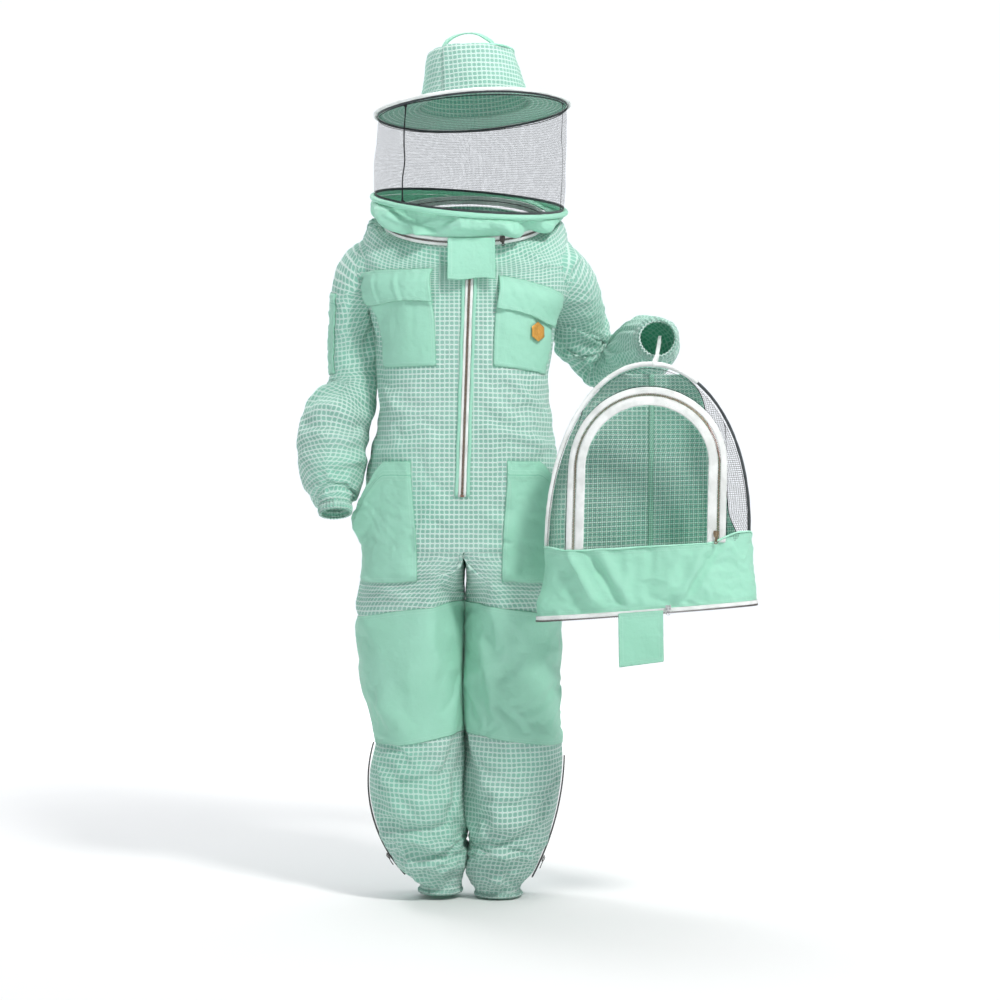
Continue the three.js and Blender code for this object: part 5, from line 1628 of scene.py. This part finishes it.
# The throat flap.
x, t = np.meshgrid(np.linspace(-43, 43, 37), np.linspace(0, 1, 33))
wavy = 1.8 * np.sin(x / 13 + 1) * t**2 + 1.2 * rumple(xyz(x, 0 * x, t * 74), (30, 30, 40), 2, 4.0) * t
y = FRONT_Y - 14 - 1.2 + wavy - 2.0 * np.sin(np.pi * t)
z = -28.5 - 74 * t + (1.5 * np.sin(x / 11)
                      - 1.8 * np.abs(x / 43) ** 3) * (t > 0.97) + 1.0 * np.sin(x / 17) * t
grid = xyz(14 + x * (1 + 0.02 * t), y, z)
ob = cloth_grid("throat_flap_cloth", grid, seams_u=(0, 36), seams_v=(32,))
declare(ob, grid)
finish_piece(thicken(ob, 2.0, offset=0.0, subdivide=1), POPLIN, "throat", ["throat_flap"])


# ---------------------------------------------------------------- leg zips

for side, top, bottom in (("right", -960, -1206), ("left", -984, -1212)):
    x0, z0, radius, sign = LEG_ARC[side]
    z = np.linspace(top, bottom, 40)
    x = np.array([arc_x(side, k) for k in z])
    out = xyz(x - x0, 0 * x, z - z0)
    out = unit(out)
    path = xyz(x, 0 * x + 2, z) + out * 2.0
    ob = band(f"{side}_leg_tape", path, out, 16, 1.0, rows=4)
    finish_piece(thicken(ob, 1.0), DARK_TAPE, f"{side}_lower_leg", [f"{side}_leg_zip_tape"])
    teeth_row(f"{side}_leg_teeth", path + out * 1.8, out, GUNMETAL, f"{side}_lower_leg",
              size=(2.8, 1.2, 1.4), stagger=0.8)
    z_at = bottom + 36
    at = np.array([arc_x(side, z_at), 2.0, z_at])
    n = np.array([at[0] - x0, 0, at[2] - z0])
    n /= np.linalg.norm(n)
    make_slider(f"{side}_leg_pull", at + n * 4.4, n, sign * np.array([n[2], 0, -n[0]]), 12,
                f"{side}_leg_slider", [f"{side}_leg_zip_slider"], GUNMETAL)


# ---------------------------------------------------------------- the spare veil's pieces

def hood_normal(n):
    """A direction turned from the spare veil's frame to the part's."""
    return np.asarray(n, float) @ HOOD_TURN.T


declare(spare_skirt, vertices_of(spare_skirt).reshape(skirt_shape),
        closed=True)
thicken(spare_skirt, 1.2, subdivide=1)
finish_piece(spare_skirt, POPLIN, "spare_veil", ["spare_skirt"])


def skirt_ring(z, count=220, grow=0.0):
    """The spare skirt's outline at a height, with its outward directions."""
    angle = 2 * np.pi * np.arange(count) / count
    a, b = float(hood_half(z)) + grow, float(hood_depth(z)) + grow
    return oval(angle, a, b, 0 * angle + z), outward(angle)


path, out = skirt_ring(HOOD["skirt"], grow=3.0)
path[:, 2] = skirt_top(2 * np.pi * np.arange(len(path)) / len(path)) + 0.8
ob = tube_along("spare_skirt_top_binding", hood_world(path), 1.6, 8, closed=True, wobble=puckers)
finish_piece(ob, MINT_TAPE, "spare_veil")
path, out = skirt_ring(5.4)
ob = band("spare_hem_tape", hood_world(path), hood_normal(out), 8.0, 1.2, closed=True, crown=0.6)
finish_piece(thicken(ob, 1.4), WHITE_TAPE, "spare_veil", ["spare_hem_zip_tape"])
path, out = skirt_ring(0.9, 400, 0.6)
teeth_row("spare_hem_teeth", closed(hood_world(path)), closed(hood_normal(out)), GUNMETAL, "spare_veil",
          size=(2.4, 1.2, 1.6), stagger=0.5)

# Netting between the window and the hoop.
s, t = np.meshgrid(np.linspace(0, 1, 97), np.linspace(0, 1, 13))
ax, az = arch(s, WINDOW["tape"] + 1)
hx, hz = hoop_line(s)
x, z = ax + (hx * 0.99 - ax) * t, az + (hz - az) * t
loose = 4.0 * rumple(xyz(x, 0 * x, z), 60, 3, 2.0) * np.sin(np.pi * t)
grid = hood_world(hood_front(x, z, 0.8 + np.maximum(loose, -2)))
ob = cloth_grid("spare_side_tulle", grid[:, ::-1], seams_u=(22, 70), seams_v=(0, 12))
declare(ob, grid)
finish_piece(ob, WINDOW_NET, "spare_veil", ["spare_side_net"])

# The window.
s, t = np.meshgrid(np.linspace(0, 1, 41), np.linspace(0, 1, 49))
z = WINDOW["bottom"] + (WINDOW["spring"] + WINDOW["half"] * 0.995 - WINDOW["bottom"]) * (1 - t)
half = np.sqrt(np.maximum(0, WINDOW["half"] ** 2 - np.maximum(0, z - WINDOW["spring"]) ** 2))
x = -half + 2 * half * s
ripples = 2.0 * rumple(xyz(x, 0 * x, z), (50, 50, 90), 3, 9.0)
grid = hood_world(hood_front(x, z, 0.8 + np.clip(ripples, -1.5, 3)))
ob = cloth_grid("spare_window_tulle", grid, seams_v=())
declare(ob, grid)
finish_piece(ob, WINDOW_NET, "window", ["spare_window_net"])


def arch_band(name, grow, width, lift, crown, seed, cad=()):
    """A white tape that runs round the window's arch."""
    x, z = arch(np.linspace(0.002, 0.998, 150), grow)
    points = hood_front(x, z)
    n = front_normals(points)
    wave = 0.6 * rumple(points, (26, 26, 26), 2, seed)
    ob = band(name, hood_world(points + n * wave[:, None]), hood_normal(n), width, lift, rows=6,
              crown=crown)
    return finish_piece(thicken(ob, 1.2), WHITE_TAPE, "spare_veil", cad)


arch_band("window_inner_tape", 9.6, 17.0, 2.6, 1.0, 2.0, ["window_zip_tape"])
arch_band("window_outer_tape", 27.8, 12.5, 2.2, 0.8, 5.0)
x, z = arch(np.linspace(0.002, 0.998, 260), 19.8)
points = hood_front(x, z)
n = front_normals(points)
teeth_row("window_teeth", hood_world(points + n * 2.4), hood_normal(n), COPPER, "spare_veil",
          size=(2.9, 1.1, 1.7), stagger=0.7)

# The back panel of ventilated mesh, with a seam down its middle.
u, t = np.meshgrid(np.linspace(0.262, 0.738, 81), np.linspace(0, 1, 61))
z = HOOD["height"] - 14 + (HOOD["skirt"] + 1 - HOOD["height"] + 14) * t
angle = 2 * np.pi * u
a, b = hood_half(z) - 3, hood_depth(z) - 3
p = oval(angle, a, b, z)
p[..., 0] -= 34 * smooth((0.42 - u) / 0.158) * smooth(t / 0.35) * (1 - 0.5 * smooth((t - 0.8) / 0.2))
out = outward(angle)
sag = (6.0 * (crease(p, (60, 90, 110), 2, 3.0) - 0.6) * smooth(t / 0.1) * smooth((1 - t) / 0.1)
       * smooth(np.minimum(u - 0.262, 0.738 - u) / 0.05))
ob = cloth_grid("spare_back_mesh", hood_world(p + out * sag[..., None]), seams_u=(0, 40, 80),
                seams_v=(0, 60), centre=40)
finish_piece(thicken(ob, 2.6), MESH, "spare_veil", ["spare_back_panel"])
seam_path = hood_world(p[:, 40] + out[:, 40] * (sag[:, 40] - 2.4)[:, None])
ob = band("spare_back_seam", seam_path, hood_normal(-out[:, 40]), 9, 1.0, rows=2)
finish_piece(thicken(ob, 1.2), POPLIN, "spare_veil")

# Netting from that panel's drawn-in edge to the hoop.
across = np.linspace(0, 1, 9)[None, :, None]
edge = p[:, 0]
rim = xyz(hood_half(edge[:, 2]) - 2, 0 * edge[:, 2] - 1, edge[:, 2])
grid = hood_world(edge[:, None] * (1 - across) + rim[:, None] * across)
ob = cloth_grid("spare_edge_tulle", grid, seams_u=(0,))
declare(ob, grid)
finish_piece(ob, WINDOW_NET, "spare_veil")

# The sprung hoop in its white casing; past the top the netting's black binding covers it.
s = np.linspace(0, 1, 140)
x, z = hoop_line(s)
hoop = xyz(x, 0 * x - 2, z + 9)
white = s < 0.66
ob = tube_along("spare_hoop_casing", hood_world(hoop[white]), 4.4, 12,
                wobble=lambda p: 0.5 * rumple(p, 12, 2, 7.0))
finish_piece(ob, WHITE_CASING, "spare_veil", ["spare_hoop"])
ob = tube_along("spare_hoop_binding", hood_world(hoop[s > 0.65]), 2.6, 10,
                wobble=lambda p: 0.4 * rumple(p, 9, 2, 7.0))
finish_piece(ob, DARK_TAPE, "spare_veil")

# The flap at the hem, the sliders and the thumb elastic that carries the hoop.
x, t = np.meshgrid(np.linspace(-39, 39, 29), np.linspace(0, 1, 33))
y = -HOOD["depth"] - 3.4 - 1.8 * np.sin(np.pi * t) + 1.6 * np.sin(x / 14 + 2) * t**2
z = 6 - 92 * t + 0.04 * x * t
grid = xyz(-4 + x + 3 * t, y, z)
ob = cloth_grid("spare_flap_cloth", hood_world(grid), seams_u=(0, 28), seams_v=(0, 32))
declare(ob, grid)
finish_piece(thicken(ob, 2.0, offset=0.0, subdivide=1), POPLIN, "spare_throat", ["spare_throat_flap"])

make_slider("spare_hem_pull", hood_world(np.array([44.0, -HOOD["depth"] - 3.2, 8.0])),
            HOOD_TURN @ np.array([0, -1.0, 0]),
            HOOD_TURN @ np.array([0, 0, -1.0]), 8, "hem_slider", ["spare_hem_zip_slider"], BRIGHT,
            ring=True)
zip_x, zip_z = arch(0.975, 18.2)
at = hood_world(hood_front(zip_x, zip_z, 8.6))
make_slider("window_zip_pull", at, HOOD_TURN @ np.array([0, -1.0, 0]), HOOD_TURN @ np.array([0, 0, -1.0]),
            10, "window_slider", ["window_zip_slider"])

loop, loop_normals = [], []
zt = float(hoop_line(0.5)[1]) + 9


def add_loop(py, pz, ny, nz):
    loop.append((6.0, py, pz))
    loop_normals.append((0.0, ny, nz))


add_loop(140, zt + 60, 0, 1)
add_loop(70, zt + 22, -0.3, 1)
for k in range(21):
    a = math.radians(100 + 12 * k)
    add_loop(-2 + 5.4 * math.cos(a), zt + 5.4 * math.sin(a), math.cos(a), math.sin(a))
add_loop(70, zt + 12, 0.3, -1)
add_loop(140, zt + 50, 0, -1)
n = np.array(loop_normals)
n = unit(n)
ob = band("thumb_elastic", np.array(loop) @ HOOD_TURN.T + np.array(HOOD["at"], float), hood_normal(n), 6,
          0.2, rows=3)
finish_piece(thicken(ob, 1.2), ELASTIC, "left_forearm", ["left_thumb_loop"])


# ---------------------------------------------------------------- camera, light and floor

camera = put_in_scene("camera", bpy.data.cameras.new("camera"))
camera.location = (0.066, -4.2, -0.504)
camera.rotation_euler = (math.radians(90), 0, 0)
camera.data.lens, camera.data.sensor_width = 80.4, 36.0
bpy.context.scene.camera = camera

world = bpy.data.worlds.new("studio")
bpy.context.scene.world = world
world.use_nodes = True
backdrop = world.node_tree.nodes["Background"]
backdrop.inputs[0].default_value = (0.93, 0.96, 1.0, 1)


def world_ramp(value, low, high, to_low, to_high):
    """A smooth step of the light's strength over one part of its direction."""
    n = world.node_tree.nodes.new("ShaderNodeMapRange")
    n.interpolation_type = "SMOOTHSTEP"
    for key, number in (("From Min", low), ("From Max", high), ("To Min", to_low), ("To Max", to_high)):
        n.inputs[key].default_value = number
    world.node_tree.links.new(value, n.inputs["Value"])
    return n.outputs["Result"]


# White paper stands behind the suit and low down all round it, and the light from above is softer.
SOFT, PAPER = 0.36, 1.08
sky = world.node_tree.nodes.new("ShaderNodeSeparateXYZ")
world.node_tree.links.new(world.node_tree.nodes.new("ShaderNodeTexCoord").outputs["Generated"],
                          sky.inputs[0])
brighter = world.node_tree.nodes.new("ShaderNodeMath")
brighter.operation = "MAXIMUM"
world.node_tree.links.new(world_ramp(sky.outputs["Y"], 0.3, 0.9, SOFT, PAPER), brighter.inputs[0])
world.node_tree.links.new(world_ramp(sky.outputs["Z"], 0.0, 0.15, PAPER, SOFT), brighter.inputs[1])
world.node_tree.links.new(brighter.outputs[0], backdrop.inputs[1])


def area_light(name, place, target, size, power, colour=(1, 1, 1)):
    """A round soft light that faces a target."""
    light = bpy.data.lights.new(name, "AREA")
    light.shape, light.size, light.energy, light.color = "DISK", size, power, colour
    ob = put_in_scene(name, light)
    ob.location = place
    ob.rotation_euler = (Vector(target) - Vector(place)).to_track_quat("-Z", "Y").to_euler()
    return ob


area_light("key", (1.7, -2.4, 2.3), (0, 0, -0.5), 0.7, 112, (1.0, 0.985, 0.96))
area_light("fill", (-2.6, -2.6, 0.2), (0, 0, -0.6), 2.2, 7, (0.95, 0.98, 1.0))
area_light("rim", (-1.4, 1.6, 1.6), (0, 0, -0.4), 1.0, 24)
area_light("paper", (0, 0.9, 2.6), (0, 2.4, -1.0), 3.2, 60)

# A round floor that no camera round the suit stands behind; it glows a little far out, to meet the white.
FLOOR_Z, FLOOR_R = -1.2495, 8.0
floor_mesh = bpy.data.meshes.new("studio_floor")
floor_mesh.from_pydata([(FLOOR_R * x, FLOOR_R * y, FLOOR_Z) for x, y in circle(1.0, 64)], [],
                       [tuple(range(64))])
floor = put_in_scene("studio_floor", floor_mesh)
s = Shader("studio_paper")
away = s.node("ShaderNodeVectorMath", {0: s.place()}, operation="LENGTH").outputs["Value"]
s.set(Base_Color=(0.85, 0.85, 0.85, 1), Roughness=0.9, Specular_IOR_Level=0.1,
      Emission_Color=(1, 1, 1, 1), Emission_Strength=s.ramp(away, 1.6, 3.6, 0.0, 0.6))
floor.data.materials.append(s.material)
bpy.context.scene.view_settings.view_transform = "Standard"
